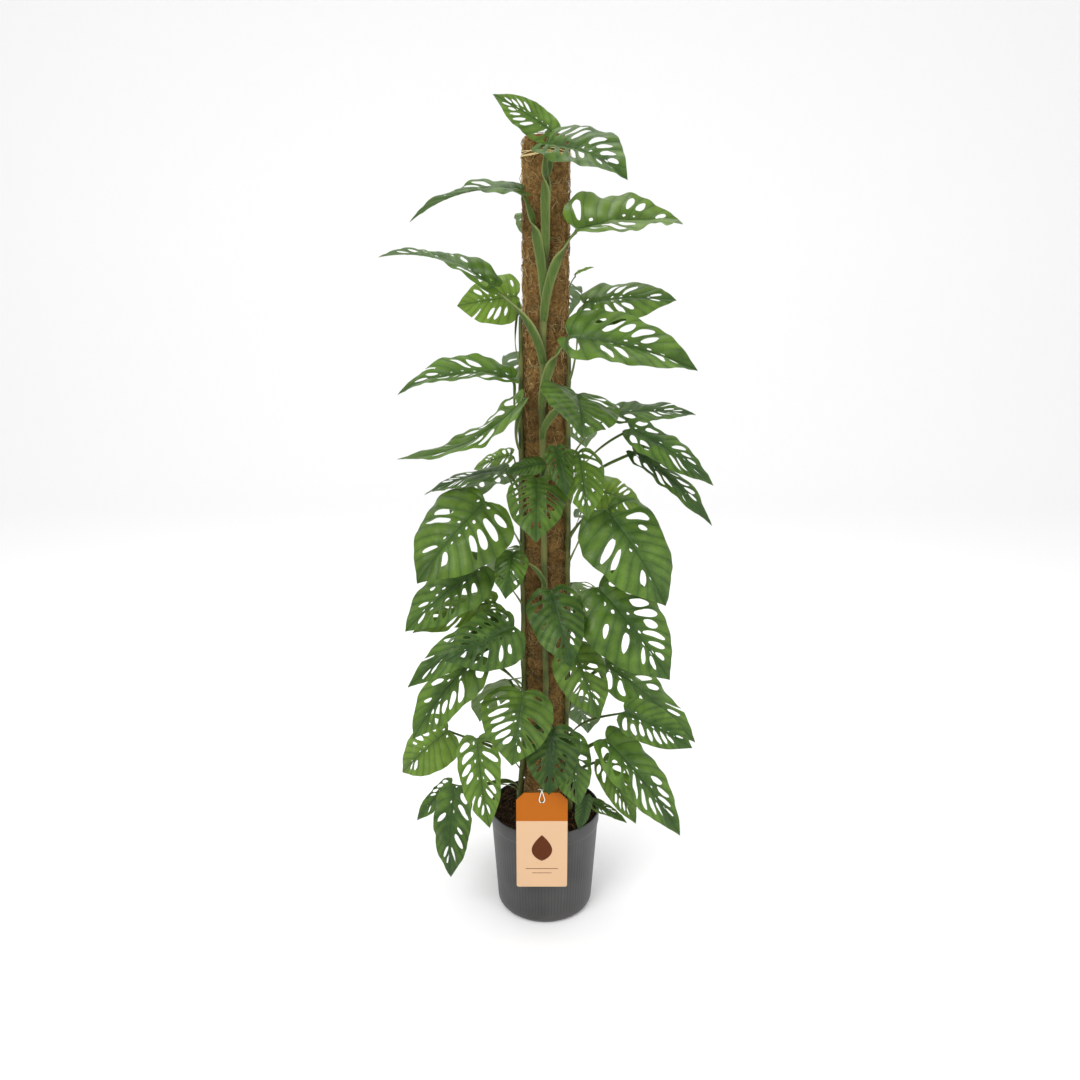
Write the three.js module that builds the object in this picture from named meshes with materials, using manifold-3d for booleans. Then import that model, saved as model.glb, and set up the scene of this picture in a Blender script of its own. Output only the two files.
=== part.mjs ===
// Potted Monstera adansonii, sold as Monstera obliqua, climbing a coir pole.
// Millimetres, +Z up. The origin is the middle of the pot's underside and -Y is the front.

import * as THREE from 'three';
import { mergeVertices } from 'three/addons/utils/BufferGeometryUtils.js';
import Module from 'manifold-3d';

const wasm = await Module();
wasm.setup();

// Driving dimensions

const gap = 0.35;

const pot = {
  height: 203,
  rimRadius: 106,
  bandHeight: 27,
  bandStep: 1.6,
  baseRadius: 92.5,
  footRound: 13,
  wall: 2.4,
  floor: 3,
  drains: 4,
  drainRadius: 6,
  drainCircle: 60,
  segments: 28,
};

const soil = {
  edgeHeight: 196,
  crownHeight: 208,
  unevenness: 4,
};

const pole = {
  radius: 39,
  top: 1411,
  coirBottom: 160,
  topRound: 11,
  coreRadius: 12,
  coreBottom: 10,
  coreTop: 1385,
  segments: 20,
};

const tie = {
  height: 1383,
  radius: 0.9,
  clearance: 0.5,
  bulge: 20,
  sides: 3,
  steps: 20,
};

const tag = {
  centre: -6,
  width: 94,
  bottom: 95,
  top: 291,
  back: -107.2,
  thickness: 0.8,
  chamfer: 15,
  cornerRadius: 4,
  holeHeight: 272,
  holeRadius: 3.2,
};

const thread = {
  radius: 0.8,
  sides: 3,
  steps: 24,
};

const blade = {
  thickness: 0.9,
  fold: 0.16,
  arch: 1.1,
  unevenHalves: 0.07,
  ripple: 0.012,
  windowPoints: 5,
  windowHalf: 0.28,
  windowShare: 0.65,
  slitShare: 0.06,
};

const stalk = {
  rootRadius: 3,
  sheathRadius: 4.6,
  kneeRadius: 2.3,
  kneeDrop: 5,
  tipRadius: 0.25,
  sunk: 5,
  reach: 20,
  lead: 0.26,
  sides: 3,
};

const stem = {
  sides: 5,
  spacing: 110,
  footRadius: 54,
  footDepth: 125,
  leanFrom: 215,
  leanTo: 330,
  againstPole: 46,
};

// One half of a blade's outline: how far out of the half width, how far along the length.
const margin = [
  [0.46, -0.06], [0.88, 0.06], [1.00, 0.21], [0.98, 0.37], [0.90, 0.49],
  [0.83, 0.60], [0.69, 0.705], [0.51, 0.79], [0.17, 0.93],
];

// Side veins: where each leaves the midrib, and the margin point where it ends.
const veins = [
  { start: 0, end: 1 }, { start: 0.17, end: 3 }, { start: 0.35, end: 5 },
  { start: 0.54, end: 7 }, { start: 0.75, end: 8 },
];

// Each stem is one shoot with its leaves. A leaf has the height where its stalk leaves the
// stem, the base and tip of its blade, the way its upper face looks, its width over its
// length, and how far the midrib bows up on its way to the tip. Where a leaf differs from the
// others, fold is how steeply its halves rise from the midrib, arch how much they droop
// outwards, twist how far the blade turns by its tip, in degrees, and holed the share of its
// fields that have a window.
const vines = [
  {
    name: 'vine_front', azimuth: -93, radius: 5.5, top: 1290, sway: 4,
    leaves: [
      { from: 1265, base: [13, -44, 1408], tip: [-82, -62, 1461], face: [0.1, -1, 0.3],
        width: 0.48, bow: 0.05, holed: 0.9 },
      { from: 1225, base: [0, -76, 1385], tip: [122, -130, 1330], face: [0.1, -0.6, 0.8],
        width: 0.88, bow: 0.1, fold: 0.6, holed: 1 },
      { from: 1150, base: [-40, -52, 1322], tip: [-213, -90, 1273], face: [0.1, -0.45, 1],
        width: 0.46, bow: 0.12, fold: 0.35, twist: -38 },
      { from: 1120, base: [49, -70, 1264], tip: [234, 50, 1280], face: [0, -0.59, 0.81],
        width: 0.54, bow: 0.05, fold: 0.6 },
      { from: 980, base: [38, -75, 1098], tip: [244, -105, 1046], face: [0, -0.6, 0.8],
        width: 0.58, bow: 0.06, fold: 0.55 },
      { from: 925, base: [51, -80, 1006], tip: [56, -190, 950], face: [0.35, -0.8, 0.6],
        width: 1.1, bow: 0.05, fold: 0.3, arch: 0.4, holed: 0.2 },
      { from: 1050, base: [-85, -60, 1177], tip: [-272, -40, 1223], face: [0, -0.4, 0.9],
        width: 0.46, bow: 0.12, fold: 0.4, twist: -35 },
      { from: 800, base: [17, -90, 920], tip: [34, -140, 847], face: [0.2, -0.9, 0.5],
        width: 0.5, bow: 0.05 },
      { from: 840, base: [-6, -62, 888], tip: [-68, -68, 872], face: [0, -0.7, 0.7],
        width: 0.58, bow: 0.05, holed: 0.2 },
      { from: 790, base: [-14, -80, 865], tip: [-16, -190, 783], face: [0, -0.7, 0.8],
        width: 0.72, bow: 0.06 },
      { from: 660, base: [-56, -85, 737], tip: [-67, -150, 675], face: [0, -0.6, 0.8],
        width: 0.62, bow: 0.05 },
      { from: 590, base: [10, -98, 673], tip: [42, -175, 563], face: [0, -0.75, 0.65],
        width: 0.68, bow: 0.06 },
      { from: 410, base: [-40, -98, 484], tip: [-58, -170, 379], face: [0.1, -0.8, 0.6],
        width: 1, bow: 0.06 },
      { from: 350, base: [12, -102, 417], tip: [6, -160, 317], face: [0, -0.8, 0.6],
        width: 0.86, bow: 0.06, holed: 0.8 },
    ],
  },
  {
    name: 'vine_left', azimuth: -155, radius: 4.5, top: 1130, sway: 4,
    leaves: [
      { from: 1050, base: [-49, 12, 1161], tip: [-153, 40, 1145], face: [-0.1, -1, 0.3],
        width: 0.8, bow: 0.04 },
      { from: 940, base: [-56, -55, 1029], tip: [-244, -80, 1005], face: [0, -0.4, 0.9],
        width: 0.42, bow: 0.12, fold: 0.5 },
      { from: 900, base: [-41, -86, 994], tip: [-245, -106, 903], face: [0.1, -0.3, 1],
        width: 0.36, bow: -0.12, fold: 0.2, twist: -14 },
      { from: 820, base: [-60, 5, 891], tip: [-130, 45, 857], face: [-0.2, -0.6, 0.7],
        width: 0.5, bow: 0.05 },
      { from: 790, base: [-72, -40, 872], tip: [-213, -20, 824], face: [0, -0.2, 1],
        width: 0.45, bow: 0.05 },
      { from: 730, base: [-102, -80, 825], tip: [-213, -150, 702], face: [-0.25, -0.85, 0.45],
        width: 0.86, bow: 0.08, holed: 0.5 },
      { from: 620, base: [-112, -60, 706], tip: [-246, -85, 593], face: [-0.3, -0.7, 0.6],
        width: 0.62, bow: 0.06 },
      { from: 540, base: [-90, -40, 632], tip: [-237, -60, 581], face: [-0.1, -0.5, 0.85],
        width: 0.5, bow: 0.08 },
      { from: 510, base: [-81, -95, 613], tip: [-239, -130, 507], face: [-0.35, -0.75, 0.55],
        width: 0.36, bow: 0.08 },
      { from: 505, base: [-54, -118, 615], tip: [-168, -165, 570], face: [-0.2, -0.85, 0.4],
        width: 0.8, bow: 0.06 },
      { from: 450, base: [-123, -62, 537], tip: [-241, -75, 381], face: [-0.5, -0.75, 0.4],
        width: 0.5, bow: 0.08 },
      { from: 300, base: [-124, -75, 381], tip: [-101, -118, 225], face: [-0.2, -0.85, 0.4],
        width: 0.5, bow: 0.07 },
      { from: 285, base: [-183, -20, 370], tip: [-277, 10, 266], face: [-0.5, -0.8, 0.3],
        width: 0.7, bow: 0.06 },
      { from: 250, base: [-167, -75, 279], tip: [-178, -85, 99], face: [-0.3, -0.85, 0.4],
        width: 0.42, bow: 0.07 },
      { from: 240, base: [-176, -45, 273], tip: [-244, -45, 195], face: [-0.6, -0.6, 0.4],
        width: 0.4, bow: 0.06 },
    ],
  },
  {
    name: 'vine_right', azimuth: -28, radius: 4.5, top: 1080, sway: 4,
    leaves: [
      { from: 1020, base: [65, 2, 1149], tip: [216, -34, 1155], face: [0, -0.65, 0.75],
        width: 0.66, bow: 0.06 },
      { from: 880, base: [113, -30, 967], tip: [259, -16, 964], face: [0, -0.4, 0.9],
        width: 0.46, bow: 0.05 },
      { from: 830, base: [140, -88, 950], tip: [280, -95, 856], face: [0.3, -0.6, 0.7],
        width: 0.44, bow: 0.06 },
      { from: 815, base: [152, -40, 904], tip: [288, -60, 778], face: [0.4, -0.6, 0.6],
        width: 0.3, bow: 0.06 },
      { from: 800, base: [54, -72, 909], tip: [68, -150, 811], face: [0.1, -0.6, 0.8],
        width: 0.62, bow: 0.06 },
      { from: 740, base: [92, 8, 827], tip: [177, 35, 790], face: [0.1, -0.8, 0.6], width: 0.8, bow: 0.05 },
      { from: 700, base: [104, -80, 811], tip: [203, -130, 656], face: [0.25, -0.85, 0.4],
        width: 0.75, bow: 0.08, holed: 0.6 },
      { from: 560, base: [92, -80, 672], tip: [216, -120, 517], face: [0.2, -0.85, 0.45],
        width: 0.72, bow: 0.08 },
      { from: 470, base: [50, -66, 553], tip: [95, -115, 440], face: [0.1, -0.8, 0.5],
        width: 0.7, bow: 0.06 },
      { from: 430, base: [113, -35, 508], tip: [279, -50, 361], face: [0.5, -0.6, 0.6],
        width: 0.4, bow: 0.06 },
      { from: 350, base: [142, -95, 445], tip: [260, -125, 389], face: [0.3, -0.8, 0.5],
        width: 0.56, bow: 0.07 },
      { from: 300, base: [36, -92, 392], tip: [61, -116, 269], face: [0.2, -0.85, 0.45],
        width: 0.62, bow: 0.06 },
      { from: 290, base: [111, -78, 381], tip: [249, -104, 200], face: [0.5, -0.7, 0.5],
        width: 0.42, bow: 0.07 },
      { from: 270, base: [109, -42, 321], tip: [172, -58, 196], face: [0.1, -0.9, 0.4],
        width: 0.4, bow: 0.05 },
      { from: 225, base: [79, -55, 243], tip: [154, -70, 205], face: [0, -0.3, 1], width: 0.34, bow: 0.06 },
      { from: 222, base: [74, -88, 273], tip: [62, -102, 210], face: [0.3, -0.9, 0.3],
        width: 0.5, bow: 0.04 },
    ],
  },
  {
    name: 'vine_back_left', azimuth: 125, radius: 4.5, top: 1260, sway: 4,
    leaves: [
      { from: 1200, base: [-14, 88, 1300], tip: [-30, 262, 1255], face: [0, 0.3, 1],
        width: 0.42, bow: 0.09 },
      { from: 960, base: [-22, 100, 1060], tip: [-60, 280, 990], face: [0, 0.4, 1],
        width: 0.46, bow: 0.08 },
      { from: 760, base: [-75, 95, 850], tip: [-190, 190, 740], face: [-0.5, 0.6, 0.6],
        width: 0.58, bow: 0.08 },
      { from: 620, base: [-45, 115, 690], tip: [-90, 240, 560], face: [-0.2, 0.8, 0.6],
        width: 0.6, bow: 0.08 },
      { from: 480, base: [-95, 80, 560], tip: [-215, 150, 440], face: [-0.6, 0.5, 0.6],
        width: 0.56, bow: 0.08 },
      { from: 330, base: [-70, 125, 410], tip: [-140, 220, 270], face: [-0.4, 0.8, 0.5],
        width: 0.58, bow: 0.08 },
    ],
  },
  {
    name: 'vine_back_right', azimuth: 52, radius: 4.5, top: 1210, sway: 4,
    leaves: [
      { from: 1130, base: [50, 12, 1198], tip: [80, -10, 1208], face: [0, -0.6, 0.8],
        width: 0.3, bow: 0.04 },
      { from: 1080, base: [20, 96, 1180], tip: [46, 270, 1120], face: [0, 0.35, 1],
        width: 0.44, bow: 0.08 },
      { from: 860, base: [30, 105, 950], tip: [85, 270, 860], face: [0.2, 0.5, 0.9],
        width: 0.52, bow: 0.08 },
      { from: 690, base: [85, 85, 770], tip: [195, 180, 650], face: [0.5, 0.6, 0.6],
        width: 0.58, bow: 0.08 },
      { from: 550, base: [50, 110, 620], tip: [90, 235, 490], face: [0.2, 0.8, 0.6],
        width: 0.6, bow: 0.08 },
      { from: 400, base: [100, 80, 480], tip: [215, 150, 350], face: [0.6, 0.5, 0.6],
        width: 0.56, bow: 0.08 },
      { from: 290, base: [55, 130, 370], tip: [95, 225, 240], face: [0.2, 0.8, 0.5],
        width: 0.58, bow: 0.08 },
    ],
  },
];

const looks = {
  pot: { color: 0x4b4c4e, roughness: 0.5, metalness: 0 },
  soil: { color: 0x2e2018, roughness: 0.95, metalness: 0 },
  core: { color: 0xa98a5c, roughness: 0.7, metalness: 0 },
  coir: { color: 0x7a5230, roughness: 0.95, metalness: 0 },
  twine: { color: 0xd9bd86, roughness: 0.85, metalness: 0 },
  leaf: { color: 0x3d6b25, roughness: 0.45, metalness: 0 },
  card: { color: 0xf0cd9d, roughness: 0.6, metalness: 0 },
  thread: { color: 0xf3efe6, roughness: 0.8, metalness: 0 },
};

// Helpers

// A repeatable draw between 0 and 1 for a pair of whole numbers.
function draw(a, b) {
  const value = Math.sin(a * 12.9898 + b * 78.233) * 43758.5453;
  return value - Math.floor(value);
}

function geometryOf(positions, faces) {
  const geometry = new THREE.BufferGeometry();
  geometry.setAttribute('position', new THREE.Float32BufferAttribute(positions, 3));
  geometry.setIndex(faces);
  return geometry;
}

function toSolid(geometry) {
  const bare = geometry.clone();
  bare.deleteAttribute('normal');
  bare.deleteAttribute('uv');
  const merged = mergeVertices(bare, 1e-4);
  return new wasm.Manifold(new wasm.Mesh({
    numProp: 3,
    vertProperties: new Float32Array(merged.attributes.position.array),
    triVerts: new Uint32Array(merged.index.array),
  }));
}

function toGeometry(solid) {
  const { vertProperties, triVerts } = solid.getMesh();
  return geometryOf(vertProperties, Array.from(triVerts));
}

function part(name, geometry, look) {
  const mesh = new THREE.Mesh(geometry, new THREE.MeshStandardMaterial(look));
  mesh.name = name;
  return mesh;
}

// Lathe with its axis along +Z. The profile is given as radius and height.
function turned(profile, segments) {
  const points = profile.map(([radius, height]) => new THREE.Vector2(radius, height));
  return new THREE.LatheGeometry(points, segments).rotateX(Math.PI / 2);
}

function uprightCylinder(x, y, from, to, radius, sides) {
  return new THREE.CylinderGeometry(radius, radius, to - from, sides)
    .rotateX(Math.PI / 2)
    .translate(x, y, (from + to) / 2);
}

// Points on a quarter turn from one direction to the next, both ends included.
function corner(centreRadius, centreHeight, radius, fromDegrees, toDegrees, steps) {
  const points = [];
  for (let i = 0; i <= steps; i++) {
    const angle = THREE.MathUtils.degToRad(fromDegrees + (toDegrees - fromDegrees) * i / steps);
    points.push([centreRadius + radius * Math.cos(angle), centreHeight + radius * Math.sin(angle)]);
  }
  return points;
}

// A tube with flat ends, or a closed ring, with a section at each fraction of the curve.
function tubeAlong(curve, fractions, sides, radiusAt, closed = false) {
  const positions = [];
  const faces = [];
  const rings = fractions.length;
  const normal = new THREE.Vector3(0, 0, 1);
  if (Math.abs(curve.getTangentAt(0).z) > 0.9) {
    normal.set(1, 0, 0);
  }
  for (const fraction of fractions) {
    const centre = curve.getPointAt(fraction);
    const tangent = curve.getTangentAt(fraction);
    const radius = radiusAt(fraction);
    normal.addScaledVector(tangent, -normal.dot(tangent)).normalize();
    const binormal = new THREE.Vector3().crossVectors(tangent, normal);
    for (let k = 0; k < sides; k++) {
      const angle = 2 * Math.PI * k / sides;
      const point = centre.clone()
        .addScaledVector(normal, radius * Math.cos(angle))
        .addScaledVector(binormal, radius * Math.sin(angle));
      positions.push(point.x, point.y, point.z);
    }
  }
  for (let i = 0; i < (closed ? rings : rings - 1); i++) {
    const ring = i * sides;
    const next = ((i + 1) % rings) * sides;
    for (let k = 0; k < sides; k++) {
      const turn = (k + 1) % sides;
      faces.push(ring + k, ring + turn, next + turn);
      faces.push(ring + k, next + turn, next + k);
    }
  }
  const last = (rings - 1) * sides;
  for (let k = 1; k < sides - 1 && !closed; k++) {
    faces.push(0, k + 1, k);
    faces.push(last, last + k, last + k + 1);
  }
  return geometryOf(positions, faces);
}

// Even fractions from 0 to 1, or up to the last one before 1 for a closed ring.
function evenly(steps, closed = false) {
  return Array.from({ length: closed ? steps : steps + 1 }, (_, i) => i / steps);
}

// Pot

const bandBottom = pot.height - pot.bandHeight;
const wallTopRadius = pot.rimRadius - pot.bandStep - 1;

// Outer radius of the wall below the band at a height.
function wallRadius(height) {
  const rise = (height - pot.footRound) / (bandBottom - pot.footRound);
  return THREE.MathUtils.lerp(pot.baseRadius, wallTopRadius, rise);
}

function makePot() {
  const round = pot.footRound;
  const innerRound = round - pot.wall;
  const profile = [
    [0, 0],
    ...corner(pot.baseRadius - round, round, round, -90, 0, 3),
    [wallTopRadius, bandBottom],
    [wallTopRadius + pot.bandStep, bandBottom + 1.5],
    [pot.rimRadius, pot.height],
    [pot.rimRadius - pot.wall, pot.height],
    [wallTopRadius - pot.wall, bandBottom],
    ...corner(pot.baseRadius - round, pot.floor + innerRound, innerRound, 0, -90, 1),
    [0, pot.floor],
  ];
  let body = toSolid(turned(profile, pot.segments));
  for (let i = 0; i < pot.drains; i++) {
    const angle = 2 * Math.PI * i / pot.drains;
    const x = pot.drainCircle * Math.cos(angle);
    const y = pot.drainCircle * Math.sin(angle);
    body = body.subtract(toSolid(uprightCylinder(x, y, -5, pot.floor + 5, pot.drainRadius, 6)));
  }
  return part('pot', toGeometry(body), looks.pot);
}

// Stems

// Centre line of a shoot: straight up out of the soil, then leaning in against the pole.
function stemPoint(vine, height) {
  const lean = THREE.MathUtils.smoothstep(height, stem.leanFrom, stem.leanTo);
  const radius = THREE.MathUtils.lerp(stem.footRadius, stem.againstPole + vine.radius - 5, lean);
  const swing = vine.sway * lean * Math.sin((height - stem.leanTo) / 130);
  const angle = THREE.MathUtils.degToRad(vine.azimuth + swing);
  return new THREE.Vector3(radius * Math.cos(angle), radius * Math.sin(angle), height);
}

function makeStem(vine) {
  const heights = [stem.footDepth, 170, stem.leanFrom, 250, 290, stem.leanTo];
  for (let height = stem.leanTo + stem.spacing; height < vine.top - 30; height += stem.spacing) {
    heights.push(height);
  }
  heights.push(vine.top);
  const curve = new THREE.CatmullRomCurve3(heights.map((height) => stemPoint(vine, height)));
  const radiusAt = (f) => vine.radius * (f === 1 ? 0.6 : 1);
  return toSolid(tubeAlong(curve, evenly(heights.length), stem.sides, radiusAt));
}

// Leaves

function bladeFrame(leaf) {
  const base = new THREE.Vector3(...leaf.base);
  const along = new THREE.Vector3(...leaf.tip).sub(base);
  const length = along.length();
  along.normalize();
  const up = new THREE.Vector3(...leaf.face);
  up.addScaledVector(along, -up.dot(along)).normalize();
  const side = new THREE.Vector3().crossVectors(along, up);
  return { base, along, up, side, length };
}

// The blade's middle surface. out runs from -1 to 1 between the widest points, t from the
// stalk to the tip.
function bladeSurface(leaf, frame, index) {
  const { base, along, up, side, length } = frame;
  const twist = THREE.MathUtils.degToRad(leaf.twist ?? 0);
  const phase = 2 * Math.PI * draw(index, 1);
  return (out, t) => {
    const half = 1 + blade.unevenHalves * (2 * draw(index, 2) - 1) * Math.sign(out);
    const across = out * half * leaf.width * length / 2;
    const spread = Math.abs(across);
    const fold = leaf.fold ?? blade.fold;
    const wave = blade.ripple * length * out * out * Math.sin(9 * t + 2 * out + phase);
    const arch = leaf.arch ?? blade.arch;
    const raised = fold * spread - arch * across * across / length + wave;
    const bowed = length * leaf.bow * 4 * t * (1 - t);
    const turn = twist * t;
    return base.clone()
      .addScaledVector(along, t * length)
      .addScaledVector(side, across * Math.cos(turn) - raised * Math.sin(turn))
      .addScaledVector(up, across * Math.sin(turn) + raised * Math.cos(turn) + bowed);
  };
}

// A point in the field between two side veins: a from midrib to margin, b from vein to vein.
function inField(near, far, a, b) {
  const [nearX, nearY] = margin[near.end];
  const [farX, farY] = margin[far.end];
  const low = THREE.MathUtils.lerp(near.start, nearY, a);
  const high = THREE.MathUtils.lerp(far.start, farY, a);
  return [a * THREE.MathUtils.lerp(nearX, farX, b), THREE.MathUtils.lerp(low, high, b)];
}

// Fields between veins carry a window, a slit open to the margin, or nothing.
function fieldKind(index, side, field, length, share) {
  const chance = draw(index + 31 * side, field + 5);
  if (length < 80 || field === 3) {
    return 'plain';
  }
  if (chance < blade.slitShare && field > 0) {
    return 'slit';
  }
  return chance < share ? 'window' : 'plain';
}

// The blade laid flat: points and triangles, cut into fields by the side veins.
function flatBlade(index, length, share) {
  const points = [[0, 0]];
  const faces = [];
  const add = (x, y) => points.push([x, y]) - 1;
  const starts = veins.map((vein) => (vein.start === 0 ? 0 : add(0, vein.start)));
  const tip = add(0, 1);
  for (const side of [1, -1]) {
    const edge = margin.map(([x, y]) => add(side * x, y));
    const flat = (i) => new THREE.Vector2(side * points[i][0], points[i][1]);
    const fill = (contour, holes) => {
      const order = [...contour, ...holes.flat()];
      const inner = holes.map((hole) => hole.map(flat));
      for (const [a, b, c] of THREE.ShapeUtils.triangulateShape(contour.map(flat), inner)) {
        const [p, q, r] = [order[a], order[b], order[c]];
        faces.push(signedArea(points, p, q, r) < 0 ? [p, r, q] : [p, q, r]);
      }
    };
    fill([0, edge[0], edge[1]], []);
    for (let field = 0; field < veins.length - 1; field++) {
      const [near, far] = [veins[field], veins[field + 1]];
      const at = (a, b) => {
        const [x, y] = inField(near, far, a, b);
        return add(side * x, y);
      };
      const kind = fieldKind(index, side, field, length, share);
      const inside = 0.24 + 0.1 * draw(index, 40 + field * side);
      const outside = 0.86 + 0.06 * draw(index, 50 + field * side);
      if (kind === 'slit') {
        const depth = inside + 0.15;
        const notch = [at(1.03, 0.3), at(depth, 0.42), at(depth, 0.58), at(1.03, 0.7)];
        fill([starts[field], edge[near.end], ...notch, edge[far.end], starts[field + 1]], []);
        continue;
      }
      const rim = edge.slice(near.end, far.end + 1);
      const windows = [];
      if (kind === 'window') {
        const middle = (inside + outside) / 2;
        const reach = (outside - inside) / 2;
        const ring = [];
        for (let k = 0; k < blade.windowPoints; k++) {
          const angle = 2 * Math.PI * k / blade.windowPoints;
          ring.push(at(middle + reach * Math.cos(angle), 0.5 + blade.windowHalf * Math.sin(angle)));
        }
        windows.push(ring);
      }
      fill([starts[field], ...rim, starts[field + 1]], windows);
    }
    fill([starts.at(-1), edge.at(-1), tip], []);
  }
  return { points, faces };
}

function signedArea(points, a, b, c) {
  const [ax, ay] = points[a];
  const [bx, by] = points[b];
  const [cx, cy] = points[c];
  return (bx - ax) * (cy - ay) - (by - ay) * (cx - ax);
}

// The flat blade bent to its surface, with both faces split alike and walls round each edge.
function makeBlade(leaf, index) {
  const frame = bladeFrame(leaf);
  const surface = bladeSurface(leaf, frame, index);
  const { points, faces } = flatBlade(index, frame.length, leaf.holed ?? blade.windowShare);
  const count = points.length;
  const positions = [];
  for (const facing of [1, -1]) {
    for (const [x, y] of points) {
      const step = 0.01;
      const acrossWay = surface(x + step, y).sub(surface(x - step, y));
      const alongWay = surface(x, y + step).sub(surface(x, y - step));
      const normal = acrossWay.cross(alongWay).normalize();
      const spot = surface(x, y).addScaledVector(normal, facing * blade.thickness / 2);
      positions.push(spot.x, spot.y, spot.z);
    }
  }
  const index3 = [];
  const edges = new Set(faces.flatMap(([a, b, c]) => [`${a} ${b}`, `${b} ${c}`, `${c} ${a}`]));
  for (const [a, b, c] of faces) {
    index3.push(a, b, c, c + count, b + count, a + count);
    for (const [from, to] of [[a, b], [b, c], [c, a]]) {
      if (!edges.has(`${to} ${from}`)) {
        index3.push(to, from, from + count, to, from + count, to + count);
      }
    }
  }
  return toSolid(geometryOf(positions, index3));
}

// The stalk rises out of the stem, arches outwards and enters the blade's base from below.
function makeStalk(vine, leaf, index) {
  const start = stemPoint(vine, leaf.from);
  const frame = bladeFrame(leaf);
  const below = frame.up.clone().add(new THREE.Vector3(0, 0, 1)).normalize().negate();
  const knee = frame.base.clone()
    .addScaledVector(below, stalk.kneeDrop)
    .addScaledVector(frame.along, -stalk.kneeRadius);
  const span = start.distanceTo(knee);
  const outward = new THREE.Vector3(knee.x - start.x, knee.y - start.y, 0);
  const lead = Math.min(stalk.lead * span, outward.length() / 2);
  outward.normalize();
  const away = new THREE.Vector3(start.x, start.y, 0).normalize();
  const rise = start.clone()
    .addScaledVector(away, Math.min(0.2 * span, stalk.reach))
    .add(new THREE.Vector3(0, 0, 0.34 * span));
  const arrive = knee.clone()
    .addScaledVector(outward, -lead)
    .add(new THREE.Vector3(0, 0, -0.12 * span));
  const firstJoint = bladeSurface(leaf, frame, index)(0, veins[1].start);
  const curve = new THREE.CatmullRomCurve3([
    ...new THREE.CubicBezierCurve3(start, rise, arrive, knee).getPoints(4),
    frame.base.clone().lerp(firstJoint, stalk.sunk / (veins[1].start * frame.length)),
  ]);
  const kneeAt = 1 - stalk.kneeDrop / curve.getLength();
  const fractions = [0, 0.2, 0.55, kneeAt, 1];
  const widths = [stalk.rootRadius, stalk.sheathRadius, 0.7 * stalk.sheathRadius,
    stalk.kneeRadius, stalk.tipRadius];
  const radiusAt = (f) => widths[fractions.indexOf(f)];
  return toSolid(tubeAlong(curve, fractions, stalk.sides, radiusAt));
}

function makeVine(vine, firstIndex) {
  const pieces = [makeStem(vine)];
  vine.leaves.forEach((leaf, i) => {
    pieces.push(makeStalk(vine, leaf, firstIndex + i));
    pieces.push(makeBlade(leaf, firstIndex + i));
  });
  const body = pieces.reduce((sum, piece) => sum.add(piece));
  const [largest] = body.decompose().sort((a, b) => b.volume() - a.volume());
  return part(vine.name, toGeometry(largest), looks.leaf);
}

// Soil, with plain holes for the pole and the stems

function makeSoil() {
  const round = pot.footRound - pot.wall;
  const floor = pot.floor + gap;
  const inner = (height) => wallRadius(height) - pot.wall - gap;
  const profile = [
    [0, floor],
    [pot.baseRadius - pot.footRound - 1, floor],
    [inner(pot.floor + round) - 0.6, pot.floor + round + 1],
    [inner(bandBottom) - 0.2, bandBottom],
    [inner(bandBottom) + 0.6, soil.edgeHeight],
    [86, 203],
    [58, soil.crownHeight],
    [0, soil.crownHeight],
  ];
  const geometry = turned(profile, pot.segments);
  const place = geometry.attributes.position;
  for (let i = 0; i < place.count; i++) {
    const x = place.getX(i);
    const y = place.getY(i);
    const radius = Math.hypot(x, y);
    if (place.getZ(i) > soil.edgeHeight - 1) {
      const lump = Math.sin(x * 0.13 + 1) * Math.cos(y * 0.11) + 0.7 * Math.sin(x * 0.31 - y * 0.27);
      const near = radius > 95 ? 0.4 : 1;
      place.setZ(i, place.getZ(i) + soil.unevenness * lump * near);
    }
  }
  let body = toSolid(geometry);
  const top = soil.crownHeight + 30;
  const holes = [
    uprightCylinder(0, 0, pole.coirBottom - gap, top, pole.radius + 2 * gap, pole.segments),
    uprightCylinder(0, 0, pole.coreBottom - gap, top, pole.coreRadius + 2 * gap, 12),
  ];
  for (const vine of vines) {
    const foot = stemPoint(vine, stem.footDepth);
    holes.push(uprightCylinder(foot.x, foot.y, stem.footDepth - gap, top, vine.radius + 3 * gap, 10));
  }
  for (const hole of holes) {
    body = body.subtract(toSolid(hole));
  }
  return part('soil', toGeometry(body), looks.soil);
}

// Pole: a stiff core wrapped in coir, tied at the top

function makeCore() {
  const geometry = uprightCylinder(0, 0, pole.coreBottom, pole.coreTop, pole.coreRadius, 12);
  return part('pole_core', geometry, looks.core);
}

function makeCoir() {
  const bore = pole.coreRadius + gap;
  const profile = [
    [bore, pole.coirBottom],
    [pole.radius, pole.coirBottom],
    ...corner(pole.radius - pole.topRound, pole.top - pole.topRound, pole.topRound, 0, 90, 2),
    [0, pole.top],
    [0, pole.coreTop + gap],
    [bore, pole.coreTop + gap],
    [bore, pole.coirBottom],
  ];
  return part('coir_wrap', turned(profile, pole.segments), looks.coir);
}

// The twine goes round the coir and over the stalks in front of it.
function makeTie() {
  const points = [];
  for (let i = 0; i < 16; i++) {
    const angle = 2 * Math.PI * i / 16;
    const over = Math.max(0, Math.cos(angle + Math.PI / 2)) ** 12;
    const radius = pole.radius + tie.clearance + tie.radius + tie.bulge * over;
    points.push(new THREE.Vector3(radius * Math.cos(angle), radius * Math.sin(angle), tie.height));
  }
  const curve = new THREE.CatmullRomCurve3(points, true);
  const ring = tubeAlong(curve, evenly(tie.steps, true), tie.sides, () => tie.radius, true);
  return part('pole_tie', ring, looks.twine);
}

// Hang tag and its thread

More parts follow.
